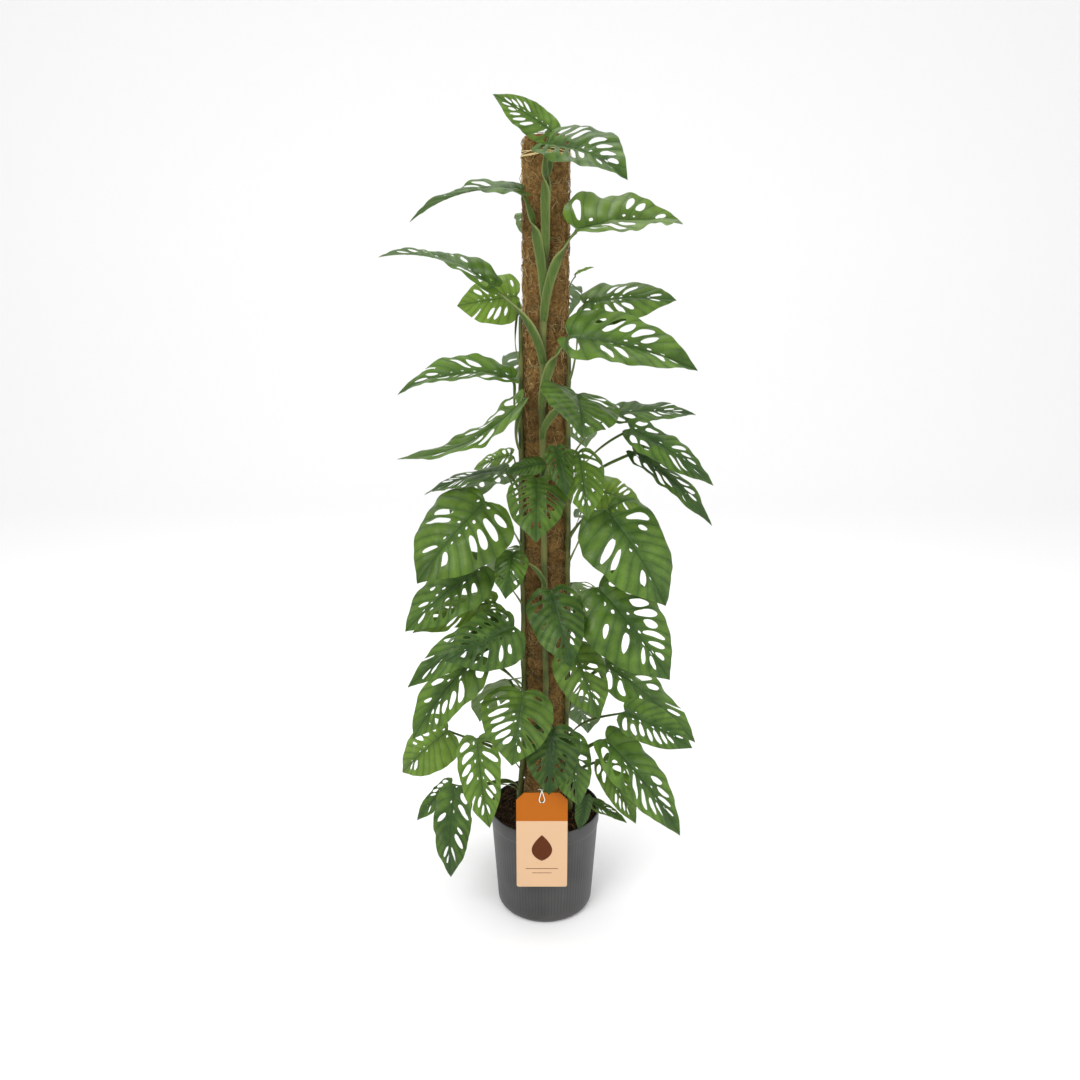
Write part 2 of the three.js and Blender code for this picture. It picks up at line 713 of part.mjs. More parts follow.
function makeTag() {
  const halfWidth = tag.width / 2;
  const r = tag.cornerRadius;
  const shape = new THREE.Shape();
  shape.moveTo(-halfWidth + r, tag.bottom);
  shape.lineTo(halfWidth - r, tag.bottom);
  shape.quadraticCurveTo(halfWidth, tag.bottom, halfWidth, tag.bottom + r);
  shape.lineTo(halfWidth, tag.top - tag.chamfer);
  shape.lineTo(halfWidth - tag.chamfer, tag.top);
  shape.lineTo(-halfWidth + tag.chamfer, tag.top);
  shape.lineTo(-halfWidth, tag.top - tag.chamfer);
  shape.lineTo(-halfWidth, tag.bottom + r);
  shape.quadraticCurveTo(-halfWidth, tag.bottom, -halfWidth + r, tag.bottom);
  const hole = new THREE.Path();
  hole.absarc(0, tag.holeHeight, tag.holeRadius, 0, 2 * Math.PI, true);
  shape.holes.push(hole);
  const geometry = new THREE.ExtrudeGeometry(shape, {
    depth: tag.thickness, bevelEnabled: false, curveSegments: 4,
  });
  geometry.rotateX(Math.PI / 2).translate(tag.centre, tag.back, 0);
  return part('tag', toGeometry(toSolid(geometry)), looks.card);
}

// Through the hole, over the top edge of the card and round the front stem.
function makeThread() {
  const front = tag.back - tag.thickness - thread.radius - 0.6;
  const behind = tag.back + thread.radius + 0.8;
  const x = tag.centre;
  const hold = stemPoint(vines[0], 262);
  const points = [
    [x, tag.back - tag.thickness / 2, tag.holeHeight - 1],
    [x - 2, front, tag.holeHeight + 5],
    [x - 3, front, tag.top - 3],
    [x - 2, tag.back + 2, tag.top + 6],
    [hold.x - 8, hold.y - 22, 278],
    [hold.x - 9, hold.y, 264],
    [hold.x, hold.y + 9.5, 261],
    [hold.x + 9, hold.y, 264],
    [hold.x + 8, hold.y - 22, 278],
    [x + 3, behind + 4, tag.top - 4],
    [x + 1, behind, tag.holeHeight + 6],
  ];
  const curve = new THREE.CatmullRomCurve3(points.map((p) => new THREE.Vector3(...p)), true);
  const ring = tubeAlong(curve, evenly(thread.steps, true), thread.sides, () => thread.radius, true);
  return part('tag_string', ring, looks.thread);
}

// The whole plant

const plant = new THREE.Group();
plant.add(makePot(), makeSoil(), makeCore(), makeCoir(), makeTie());
let counted = 0;
for (const vine of vines) {
  plant.add(makeVine(vine, counted));
  counted += vine.leaves.length;
}
plant.add(makeTag(), makeThread());

export default plant;
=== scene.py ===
import math

import bpy
import numpy as np
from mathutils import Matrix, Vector, noise


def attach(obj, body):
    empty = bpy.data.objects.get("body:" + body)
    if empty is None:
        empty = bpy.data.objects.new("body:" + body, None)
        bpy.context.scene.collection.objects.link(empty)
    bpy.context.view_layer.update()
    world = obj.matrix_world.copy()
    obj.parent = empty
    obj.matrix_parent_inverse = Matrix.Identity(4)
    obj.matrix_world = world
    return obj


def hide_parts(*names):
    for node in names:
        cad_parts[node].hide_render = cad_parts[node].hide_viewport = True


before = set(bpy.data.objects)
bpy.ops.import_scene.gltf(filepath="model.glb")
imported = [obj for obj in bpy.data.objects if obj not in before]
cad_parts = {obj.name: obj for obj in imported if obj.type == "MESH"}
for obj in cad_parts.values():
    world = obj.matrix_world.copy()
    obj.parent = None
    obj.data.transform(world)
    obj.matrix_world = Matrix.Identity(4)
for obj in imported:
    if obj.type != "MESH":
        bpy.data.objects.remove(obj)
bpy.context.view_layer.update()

# A potted climbing monstera on a coir pole. Lengths are in millimetres until a mesh is made.
mm = 0.001

# Camera, light and backdrop: places and sizes in metres, the lens and its sensor in millimetres

studio = {
    "cameraPlace": (-0.0095, -1.6, 1.1655),
    "tiltDown": 15,
    "lens": 30.64,
    "sensor": 36,
    "worldStrength": 0.84,
    "floorTone": 0.97,
    "floorFront": -7.0,
    "floorBack": 3.5,
    "floorHalfWidth": 9.0,
    "sweepRadius": 1.5,
    "sweepTop": 7.0,
    "lights": [  # name, place, what it aims at, size and power
        ("keyLight", (-1.6, -2.4, 2.9), (0, 0, 0.7), 1.6, 62),
        ("fillLight", (2.2, -1.8, 1.4), (0, 0, 0.7), 1.8, 22),
        ("topLight", (0.1, 0.3, 3.4), (0, 0, 0.6), 1.5, 30),
    ],
}


def addLight(name, place, aim, size, power):
    light = bpy.data.lights.new(name, "AREA")
    light.shape = "SQUARE"
    light.size = size
    light.energy = power
    lamp = bpy.data.objects.new(name, light)
    lamp.location = place
    lamp.rotation_euler = (Vector(aim) - Vector(place)).to_track_quat("-Z", "Y").to_euler()
    bpy.context.scene.collection.objects.link(lamp)


def makeStudio():
    scene = bpy.context.scene
    eye = bpy.data.cameras.new("camera")
    eye.sensor_width = studio["sensor"]
    eye.lens = studio["lens"]
    camera = bpy.data.objects.new("camera", eye)
    camera.location = studio["cameraPlace"]
    camera.rotation_euler = (math.radians(90 - studio["tiltDown"]), 0, 0)
    scene.collection.objects.link(camera)
    scene.camera = camera

    world = bpy.data.worlds.new("softRoom")
    world.use_nodes = True
    air = world.node_tree.nodes["Background"]
    air.inputs["Color"].default_value = (1, 1, 1, 1)
    air.inputs["Strength"].default_value = studio["worldStrength"]
    scene.world = world
    scene.view_settings.view_transform = "Standard"

    for light in studio["lights"]:
        addLight(*light)
    print("studio ready")


# Shader maths


class Wire:
    # an output socket that takes arithmetic; every operation adds its Math node
    def __init__(self, paint, socket):
        self.paint = paint
        self.socket = socket

    def maths(self, operation, first, second=0.0):
        return self.paint.node("ShaderNodeMath", {"operation": operation}, {0: first, 1: second})

    def __add__(self, other):
        return self.maths("ADD", self, other)

    def __radd__(self, other):
        return self.maths("ADD", other, self)

    def __sub__(self, other):
        return self.maths("SUBTRACT", self, other)

    def __rsub__(self, other):
        return self.maths("SUBTRACT", other, self)

    def __mul__(self, other):
        return self.maths("MULTIPLY", self, other)

    def __rmul__(self, other):
        return self.maths("MULTIPLY", other, self)

    def cosine(self):
        return self.maths("COSINE", self)

    def turnFrom(self, other):
        # the angle of the point (other, self)
        return self.maths("ARCTAN2", self, other)

    def rise(self, low, high):
        # 0 below low, 1 above high, smooth between
        return self.paint.node("ShaderNodeMapRange", {"interpolation_type": "SMOOTHSTEP"},
                               {"Value": self, "From Min": low, "From Max": high})


class Paint:
    # one material with a Principled shader; node() adds any node and gives its output back
    def __init__(self, name, roughness, shine=0.5):
        self.material = bpy.data.materials.new(name)
        self.material.use_nodes = True
        self.tree = self.material.node_tree
        self.shader = self.tree.nodes["Principled BSDF"]
        self.shader.inputs["Roughness"].default_value = roughness
        self.shader.inputs["Specular IOR Level"].default_value = shine

    def plug(self, socket, value):
        if isinstance(value, Wire):
            self.tree.links.new(value.socket, socket)
        else:
            socket.default_value = value

    def node(self, kind, settings=None, sockets=None, output=0):
        node = self.tree.nodes.new(kind)
        for key, value in (settings or {}).items():
            setattr(node, key, value)
        for key, value in (sockets or {}).items():
            self.plug(node.inputs[key], value)
        return Wire(self, node.outputs[output])

    def place(self):
        return self.node("ShaderNodeTexCoord", output="Object")

    def uv(self, name):
        return self.node("ShaderNodeUVMap", {"uv_map": name})

    def mood(self):
        # the three values that every point carries for its material
        return self.split(self.node("ShaderNodeAttribute", {"attribute_name": "mood"}, output="Color"))

    def split(self, vector):
        first = self.node("ShaderNodeSeparateXYZ", sockets={"Vector": vector})
        return [Wire(self, socket) for socket in first.socket.node.outputs]

    def speckle(self, vector, scale, detail=3.0, roughness=0.55, distortion=0.0):
        return self.node("ShaderNodeTexNoise", sockets={
            "Vector": vector, "Scale": scale, "Detail": detail,
            "Roughness": roughness, "Distortion": distortion})

    def streaks(self, vector, scales, **settings):
        # a speckle with its own scale along each axis
        stretched = self.node("ShaderNodeMapping", sockets={"Vector": vector, "Scale": scales})
        return self.speckle(stretched, 1.0, **settings)

    def blend(self, factor, first, second):
        # a Mix node keeps its colours at sockets 6 and 7 and its mixed colour at output 2
        return self.node("ShaderNodeMix", {"data_type": "RGBA"}, {0: factor, 6: first, 7: second}, output=2)

    def ramp(self, factor, *stops):
        # a colour for each stop, given as its place from 0 to 1 and its tint
        color = self.node("ShaderNodeValToRGB", sockets={"Fac": factor})
        ramp = color.socket.node.color_ramp
        while len(ramp.elements) < len(stops):
            ramp.elements.new(0.5)
        for element, (place, tone) in zip(ramp.elements, stops):
            element.position = place
            element.color = tone
        return color

    def finish(self, color, roughness=None, height=None, depth=0.0005, strength=0.6):
        # height is a relief as deep as depth, in metres
        self.plug(self.shader.inputs["Base Color"], color)
        if roughness is not None:
            self.plug(self.shader.inputs["Roughness"], roughness)
        if height is not None:
            bump = self.node("ShaderNodeBump", sockets={
                "Strength": strength, "Distance": depth, "Height": height})
            self.plug(self.shader.inputs["Normal"], bump)
        return self.material


def tint(red, green, blue):
    # a colour as the eye reads it, 0 to 255, turned into the shader's linear values
    linear = []
    for value in (red, green, blue):
        part = value / 255
        linear.append(part / 12.92 if part <= 0.04045 else ((part + 0.055) / 1.055) ** 2.4)
    return (*linear, 1.0)


# Meshes and pieces


def draw(a, b):
    # a repeatable draw between 0 and 1 for a pair of whole numbers, from the last digits of a sine
    value = math.sin(a * 12.9898 + b * 78.233) * 43758.5453
    return value - math.floor(value)


def addPiece(name, mesh, materials):
    for material in materials:
        mesh.materials.append(material)
    piece = bpy.data.objects.new(name, mesh)
    bpy.context.scene.collection.objects.link(piece)
    return piece


def makeMesh(name, points, faces, materials, faceMaterial=None):
    mesh = bpy.data.meshes.new(name)
    mesh.from_pydata((np.asarray(points) * mm).tolist(), [], [tuple(face) for face in faces])
    piece = addPiece(name, mesh, materials)
    if faceMaterial is not None:
        mesh.polygons.foreach_set("material_index", np.asarray(faceMaterial, dtype=np.int32))
    mesh.polygons.foreach_set("use_smooth", np.ones(len(mesh.polygons), dtype=bool))
    return piece


def pick(piece):
    bpy.ops.object.select_all(action="DESELECT")
    piece.select_set(True)
    bpy.context.view_layer.objects.active = piece


def smoothByAngle(piece, degrees):
    pick(piece)
    bpy.ops.object.shade_smooth_by_angle(angle=math.radians(degrees))
    piece.select_set(False)


def giveUv(piece, name, values):
    layer = piece.data.uv_layers.new(name=name)
    corners = np.empty(len(piece.data.loops), dtype=np.int32)
    piece.data.loops.foreach_get("vertex_index", corners)
    layer.data.foreach_set("uv", np.asarray(values, dtype=np.float32)[corners].ravel())


def giveMood(piece, values):
    # three values a point, which the materials read as one colour
    layer = piece.data.color_attributes.new(name="mood", type="FLOAT_COLOR", domain="POINT")
    colors = np.ones((len(values), 4), dtype=np.float32)
    colors[:, :3] = values
    layer.data.foreach_set("color", colors.ravel())


def place(piece, slot, *nodes):
    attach(piece, "root")
    if nodes:
        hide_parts(*nodes)
    print(piece.name, "triangles", sum(len(face.vertices) - 2 for face in piece.data.polygons))


def unit(vector):
    return vector / np.linalg.norm(vector)


def unitRows(vectors):
    return vectors / np.maximum(np.linalg.norm(vectors, axis=-1, keepdims=True), 1e-9)


def circle(count):
    # angles spread evenly over a full turn
    return 2 * math.pi * np.arange(count) / count


def arc(x, z, radius, start, end, count):
    # points on an arc round (x, z), with its angles in degrees
    turns = np.radians(np.linspace(start, end, count))
    return [(x + radius * math.cos(turn), z + radius * math.sin(turn)) for turn in turns]


def curveBetween(a, b, c, d, f):
    # the point at share f of the way from b to c, on a smooth line through all four
    bent = 2 * b + (c - a) * f + (2 * a - 5 * b + 4 * c - d) * f ** 2
    return 0.5 * (bent + (3 * b - a - 3 * c + d) * f ** 3)


def perPoint(count, *values):
    # one column for each value; a single number fills its column
    return np.column_stack([np.broadcast_to(value, count) for value in values])


def tubeFaces(rings, around, closed=False, capped=True):
    # quads between rings of points; a closed tube's last ring meets its first one
    grid = np.arange(rings * around).reshape(rings, around)
    here = grid if closed else grid[:-1]
    ahead = np.roll(grid, -1, axis=0) if closed else grid[1:]
    corners = [here, np.roll(here, -1, axis=1), np.roll(ahead, -1, axis=1), ahead]
    faces = np.column_stack([corner.ravel() for corner in corners]).tolist()
    if capped and not closed:
        faces += [grid[0][::-1].tolist(), grid[-1].tolist()]
    return faces


def joinParts(parts):
    # the points and faces of several parts as one mesh
    faces = []
    offset = 0
    for part in parts:
        faces += [[corner + offset for corner in face] for face in part["faces"]]
        offset += len(part["points"])
    return np.vstack([part["points"] for part in parts]), faces


# Shoots and leaves: the same shapes as the solids, cut finer

pole = {"radius": 39, "top": 1411, "bottom": 160, "topRound": 11}

stemForm = {
    "footRadius": 54, "footHeight": 145, "leanFrom": 215, "leanTo": 330,  # how a stem comes to the pole
    "offPole": 2, "sway": 4, "swayLength": 130, "wander": 0.7,
    "jointSwell": 0.22, "jointLength": 9, "rootsPerJoint": 3, "rootRadius": 1.5,
    "sides": 14, "step": 12,
}

bladeForm = {
    "thickness": 0.62, "unevenHalves": 0.07, "veinSweep": 0.028,
    "ripple": 0.012, "rippleTurns": 9,  # slow waves over the whole half
    "curl": 0.016, "curlTurns": 17, "fineTurns": 41,  # quick waves of the margin
    "quilt": 1.6, "crumple": 1.5, "midribGroove": 0.6, "midribRidge": 1.5, "sideRidge": 0.4,
    "cell": 3.3, "backCell": 4.6, "firstSteps": [0, 0.8, 2.0, 3.8],  # sizes of the mesh
}

# holes between the side veins; pairs of numbers are a least value and the most that a draw adds
windowForm = {
    "shortestLeaf": 80, "tipWindowsFrom": 110, "usualShare": 0.65, "slitShare": 0.06,
    "inside": (0.2, 0.2), "outside": (0.72, 0.17), "slim": (0.27, 0.13),
    "tipMiddle": 0.48, "tipReach": (0.2, 0.1), "dotReach": (0.035, 0.02), "dotWidth": (0.16, 0.1),
}

stalkForm = {
    "frontSheath": 16.5, "frontSheathEnd": 0.84, "frontLeaf": 150,  # widths at leaves of this length
    "sheath": 10, "sheathEnd": 0.5, "usualLeaf": 190,
    "neckWidth": 5.4, "kneeWidth": 6, "kneeDrop": 5, "kneeRadius": 2.3, "kneeLength": 14,
    "sunk": 5, "reach": 20, "lead": 0.26, "sides": 14, "rings": 24,
}

# half an outline: how far out of the half width, how far along the length
outline = [
    (0, 0), (0.46, -0.06), (0.88, 0.06), (1.00, 0.21), (0.98, 0.37), (0.90, 0.49),
    (0.83, 0.60), (0.69, 0.705), (0.51, 0.79), (0.17, 0.93), (0, 1),
]

# a point before the outline and one past it, which steer the curve at its ends
outlineEnds = [(-0.46, 0.06), (-0.13, 1.07)]

# the fields between side veins: where they start on the midrib and end on the outline
fields = [
    (0, 0, 0, 2), (0, 0.085, 2, 3), (0.085, 0.17, 3, 4), (0.17, 0.26, 4, 5), (0.26, 0.35, 5, 6),
    (0.35, 0.445, 6, 7), (0.445, 0.54, 7, 8), (0.54, 0.645, 8, 8.5), (0.645, 0.75, 8.5, 9), (0.75, 1, 9, 10),
]

offHoles = 9.0  # openness of a point that no hole comes near


def leaf(stalkAt, base, tip, face, width, bow, twist=0, fold=0.16, arch=1.1, fresh=0.0, lit=0.5, holed=0.65):
    # fresh: 0 for an old leaf to 1 for a young one; lit: painted shade and light on the whole leaf, 0 for a
    # deep green leaf darkened as if it hung in shade to 1 for a pale, light-struck one; holed: share of the
    # fields that hold a window
    return {"from": stalkAt, "base": base, "tip": tip, "face": face, "width": width, "bow": bow,
            "twist": twist, "fold": fold, "arch": arch, "fresh": fresh, "lit": lit, "holed": holed}


vines = [
    {"name": "front", "azimuth": -93, "radius": 5.5, "top": 1290, "leaves": [
        leaf(1265, (13, -44, 1408), (-82, -62, 1461), (0.1, -1, 0.3), 0.48, 0.05, fresh=0.15, holed=0.9),
        leaf(1225, (0, -76, 1385), (122, -130, 1330), (0.1, -0.6, 0.8), 0.88, 0.1,
             fold=0.6, fresh=0.05, lit=0.1, holed=1.0),
        leaf(1150, (-40, -52, 1322), (-213, -90, 1273), (0.1, -0.45, 1), 0.46, 0.12, fold=0.35, twist=-38),
        leaf(1120, (49, -70, 1264), (234, 50, 1280), (0, -0.59, 0.81), 0.54, 0.05,
             fold=0.6, fresh=0.35, lit=0.2),
        leaf(980, (38, -75, 1098), (244, -105, 1046), (0, -0.6, 0.8), 0.58, 0.06, fold=0.55, fresh=0.1),
        leaf(925, (51, -80, 1006), (56, -190, 950), (0.35, -0.8, 0.6), 1.1, 0.05,
             fold=0.3, arch=0.4, fresh=0.1, holed=0.2),
        leaf(1050, (-85, -60, 1177), (-272, -40, 1223), (0, -0.4, 0.9), 0.46, 0.12,
             fold=0.4, twist=-35, lit=0.8),
        leaf(800, (17, -90, 920), (34, -140, 847), (0.2, -0.9, 0.5), 0.5, 0.05, fresh=0.05, lit=0.0),
        leaf(840, (-6, -62, 888), (-68, -68, 872), (0, -0.7, 0.7), 0.58, 0.05, holed=0.2),
        leaf(790, (-14, -80, 865), (-16, -190, 783), (0, -0.7, 0.8), 0.72, 0.06, fresh=0.1),
        leaf(660, (-56, -85, 737), (-67, -150, 675), (0, -0.6, 0.8), 0.62, 0.05),
        leaf(590, (10, -98, 673), (42, -175, 563), (0, -0.75, 0.65), 0.68, 0.06, lit=0.0),
        leaf(410, (-40, -98, 484), (-58, -170, 379), (0.1, -0.8, 0.6), 1, 0.06, fresh=0.15),
        leaf(350, (12, -102, 417), (6, -160, 317), (0, -0.8, 0.6), 0.86, 0.06, lit=0.1, holed=0.8),
    ]},
    {"name": "left", "azimuth": -155, "radius": 4.5, "top": 1130, "leaves": [
        leaf(1050, (-49, 12, 1161), (-153, 40, 1145), (-0.1, -1, 0.3), 0.8, 0.04, fresh=0.7),
        leaf(940, (-56, -55, 1029), (-244, -80, 1005), (0, -0.4, 0.9), 0.42, 0.12, fold=0.5, lit=0.8),
        leaf(900, (-41, -86, 994), (-245, -106, 903), (0.1, -0.3, 1), 0.36, -0.12,
             fold=0.2, twist=-14, fresh=0.2, lit=0.8),
        leaf(820, (-60, 5, 891), (-130, 45, 857), (-0.2, -0.6, 0.7), 0.5, 0.05, fresh=0.5),
        leaf(790, (-72, -40, 872), (-213, -20, 824), (0, -0.2, 1), 0.45, 0.05),
        leaf(730, (-102, -80, 825), (-213, -150, 702), (-0.25, -0.85, 0.45), 0.86, 0.08,
             fresh=0.15, holed=0.5),
        leaf(620, (-112, -60, 706), (-246, -85, 593), (-0.3, -0.7, 0.6), 0.62, 0.06, lit=0.9),
        leaf(540, (-90, -40, 632), (-237, -60, 581), (-0.1, -0.5, 0.85), 0.5, 0.08, fresh=0.6),
        leaf(510, (-81, -95, 613), (-239, -130, 507), (-0.35, -0.75, 0.55), 0.36, 0.08, lit=0.9),
        leaf(505, (-54, -118, 615), (-168, -165, 570), (-0.2, -0.85, 0.4), 0.8, 0.06),
        leaf(450, (-123, -62, 537), (-241, -75, 381), (-0.5, -0.75, 0.4), 0.5, 0.08, fresh=0.1, lit=0.7),
        leaf(300, (-124, -75, 381), (-101, -118, 225), (-0.2, -0.85, 0.4), 0.5, 0.07, fresh=0.2, lit=0.8),
        leaf(285, (-183, -20, 370), (-277, 10, 266), (-0.5, -0.8, 0.3), 0.7, 0.06, fresh=0.45),
        leaf(250, (-167, -75, 279), (-178, -85, 99), (-0.3, -0.85, 0.4), 0.42, 0.07, lit=0.2),
        leaf(240, (-176, -45, 273), (-244, -45, 195), (-0.6, -0.6, 0.4), 0.4, 0.06),
    ]},
    {"name": "right", "azimuth": -28, "radius": 4.5, "top": 1080, "leaves": [
        leaf(1020, (65, 2, 1149), (216, -34, 1155), (0, -0.65, 0.75), 0.66, 0.06, fresh=0.15),
        leaf(880, (113, -30, 967), (259, -16, 964), (0, -0.4, 0.9), 0.46, 0.05),
        leaf(830, (140, -88, 950), (280, -95, 856), (0.3, -0.6, 0.7), 0.44, 0.06),
        leaf(815, (152, -40, 904), (288, -60, 778), (0.4, -0.6, 0.6), 0.3, 0.06),
        leaf(800, (54, -72, 909), (68, -150, 811), (0.1, -0.6, 0.8), 0.62, 0.06, fresh=0.25),
        leaf(740, (92, 8, 827), (177, 35, 790), (0.1, -0.8, 0.6), 0.8, 0.05, fresh=0.7),
        leaf(700, (104, -80, 811), (203, -130, 656), (0.25, -0.85, 0.4), 0.75, 0.08, lit=0.9, holed=0.6),
        leaf(560, (92, -80, 672), (216, -120, 517), (0.2, -0.85, 0.45), 0.72, 0.08),
        leaf(470, (50, -66, 553), (95, -115, 440), (0.1, -0.8, 0.5), 0.7, 0.06, fresh=0.2),
        leaf(430, (113, -35, 508), (279, -50, 361), (0.5, -0.6, 0.6), 0.4, 0.06, lit=0.9),
        leaf(350, (142, -95, 445), (260, -125, 389), (0.3, -0.8, 0.5), 0.56, 0.07, lit=0.9),
        leaf(300, (36, -92, 392), (61, -116, 269), (0.2, -0.85, 0.45), 0.62, 0.06),
        leaf(290, (111, -78, 381), (249, -104, 200), (0.5, -0.7, 0.5), 0.42, 0.07, lit=1.0),
        leaf(270, (109, -42, 321), (172, -58, 196), (0.1, -0.9, 0.4), 0.4, 0.05, fresh=0.3),
        leaf(225, (79, -55, 243), (154, -70, 205), (0, -0.3, 1), 0.34, 0.06, lit=1.0),
        leaf(222, (74, -88, 273), (62, -102, 210), (0.3, -0.9, 0.3), 0.5, 0.04, lit=0.0),
    ]},
    {"name": "back_left", "azimuth": 125, "radius": 4.5, "top": 1260, "leaves": [
        leaf(1200, (-14, 88, 1300), (-30, 262, 1255), (0, 0.3, 1), 0.42, 0.09, fresh=0.3),
        leaf(960, (-22, 100, 1060), (-60, 280, 990), (0, 0.4, 1), 0.46, 0.08),
        leaf(760, (-75, 95, 850), (-190, 190, 740), (-0.5, 0.6, 0.6), 0.58, 0.08),
        leaf(620, (-45, 115, 690), (-90, 240, 560), (-0.2, 0.8, 0.6), 0.6, 0.08, fresh=0.2),
        leaf(480, (-95, 80, 560), (-215, 150, 440), (-0.6, 0.5, 0.6), 0.56, 0.08),
        leaf(330, (-70, 125, 410), (-140, 220, 270), (-0.4, 0.8, 0.5), 0.58, 0.08, fresh=0.4),
    ]},
    {"name": "back_right", "azimuth": 52, "radius": 4.5, "top": 1210, "leaves": [
        leaf(1130, (50, 12, 1198), (80, -10, 1208), (0, -0.6, 0.8), 0.3, 0.04, fresh=1),
        leaf(1080, (20, 96, 1180), (46, 270, 1120), (0, 0.35, 1), 0.44, 0.08),
        leaf(860, (30, 105, 950), (85, 270, 860), (0.2, 0.5, 0.9), 0.52, 0.08, fresh=0.2),
        leaf(690, (85, 85, 770), (195, 180, 650), (0.5, 0.6, 0.6), 0.58, 0.08),
        leaf(550, (50, 110, 620), (90, 235, 490), (0.2, 0.8, 0.6), 0.6, 0.08, fresh=0.5),
        leaf(400, (100, 80, 480), (215, 150, 350), (0.6, 0.5, 0.6), 0.56, 0.08),
        leaf(290, (55, 130, 370), (95, 225, 240), (0.2, 0.8, 0.5), 0.58, 0.08),
    ]},
]


def outlineAt(place):
    # the outline as a smooth line; place counts its points from the base
    points = np.array([outlineEnds[0], *outline, outlineEnds[1]])
    first = np.clip(np.floor(place).astype(int), 0, len(outline) - 2)
    return curveBetween(*(points[first + k] for k in range(4)), (place - first)[..., None])


def bladeFrame(shape):
    base = np.array(shape["base"], float)
    along = np.array(shape["tip"], float) - base
    length = np.linalg.norm(along)
    along /= length
    up = np.array(shape["face"], float)
    up = unit(up - np.dot(up, along) * along)
    return base, along, up, np.cross(along, up), length


def bladeSurface(shape, index, out, t):
    # the blade's middle surface at shares out of the half width and t of the length
    base, along, up, side, length = bladeFrame(shape)
    phase = 2 * math.pi * draw(index, 1)
    hand = np.sign(out)
    half = 1 + bladeForm["unevenHalves"] * (2 * draw(index, 2) - 1) * hand
    across = out * half * shape["width"] * length / 2
    ripple = bladeForm["ripple"] * out * out * np.sin(bladeForm["rippleTurns"] * t + 2 * out + phase)
    curl = np.sin(bladeForm["curlTurns"] * t + 4 * hand + 3 * phase)
    curl = curl + 0.5 * np.sin(bladeForm["fineTurns"] * t + 7 * hand + phase)
    wave = length * (ripple + bladeForm["curl"] * np.abs(out) ** 3 * curl)
    raised = shape["fold"] * np.abs(across) - shape["arch"] * across ** 2 / length + wave
    bowed = length * shape["bow"] * 4 * t * (1 - t)
    turn = math.radians(shape["twist"]) * t
    sideways = across * np.cos(turn) - raised * np.sin(turn)
    upwards = across * np.sin(turn) + raised * np.cos(turn) + bowed
    return base + np.outer(t * length, along) + np.outer(sideways, side) + np.outer(upwards, up)


def windowsOf(index, side, number, length, holed):
    # the holes of one field: centre and half size from midrib to margin, and from vein to vein
    form = windowForm
    holes = []
    slit = None
    if length < form["shortestLeaf"]:
        return holes, slit

    def between(key, chance):
        least, most = form[key]
        return least + most * chance

    pair = (number - 1) // 2
    chance = draw(index + 31 * side, pair + 5)
    luck = draw(index + 13 * side, number + 41)
    small = draw(index + 17 * side, number + 71)
    inside = between("inside", draw(index, 40 + number * side))
    outside = between("outside", draw(index, 60 + number * side))
    slim = between("slim", draw(index + 7 * side, number + 23))
    middle, reach = (inside + outside) / 2, (outside - inside) / 2
    plenty = holed / form["usualShare"]
    if pair < 3:
        if chance < form["slitShare"] and pair > 0:
            slit = inside + 0.2 if number % 2 == 0 else None
        elif chance < holed and luck < 0.9:
            holes.append((middle, reach, 0.5, slim))
        elif luck < 0.3 * plenty:
            holes.append((middle, reach * 0.55, 0.5, slim * 0.7))
    elif length > form["tipWindowsFrom"] and luck < holed:
        holes.append((form["tipMiddle"], between("tipReach", small), 0.5, slim * 0.9))
    if small < 0.5 * min(plenty, 1.2):
        holes.append((inside * 0.45, between("dotReach", small), 0.45, between("dotWidth", small)))
    return holes, slit


def openness(index, side, number, length, holed, a, b):
    # positive on the leaf, negative inside a hole, zero on its edge
    holes, slit = windowsOf(index, side, number, length, holed)
    keep = np.full(a.shape, offHoles)
    for k, (midA, reachA, midB, reachB) in enumerate(holes):
        x, y = (a - midA) / reachA, (b - midB) / reachB
        turn = np.arctan2(y, x)
        phase = 6.28 * draw(index + k, number + 11 * side)
        edge = 1 + 0.1 * np.sin(2 * turn + phase) + 0.07 * np.sin(3 * turn - phase)
        keep = np.minimum(keep, np.hypot(x, y) / edge - 1)
    if slit is not None:
        run = np.clip((a - slit) / (1.0 - slit), 0, 1)
        half = (0.08 + 0.13 * run) * np.sqrt(np.clip((a - slit + 0.05) / 0.1, 1e-4, 1))
        keep = np.minimum(keep, np.where(a > slit - 0.05, np.abs(b - 0.5) / half - 1, offHoles))
    return keep


def stepsFrom(total, cell, fine):
    # values from 0 to 1: fine ones next to 0, then even cells
    lead = [value / total for value in fine if value < total * 0.4]
    rest = np.linspace(lead[-1] if lead else 0, 1, max(3, int(round(total / cell)) + 1))
    return np.concatenate([lead[:-1], rest])


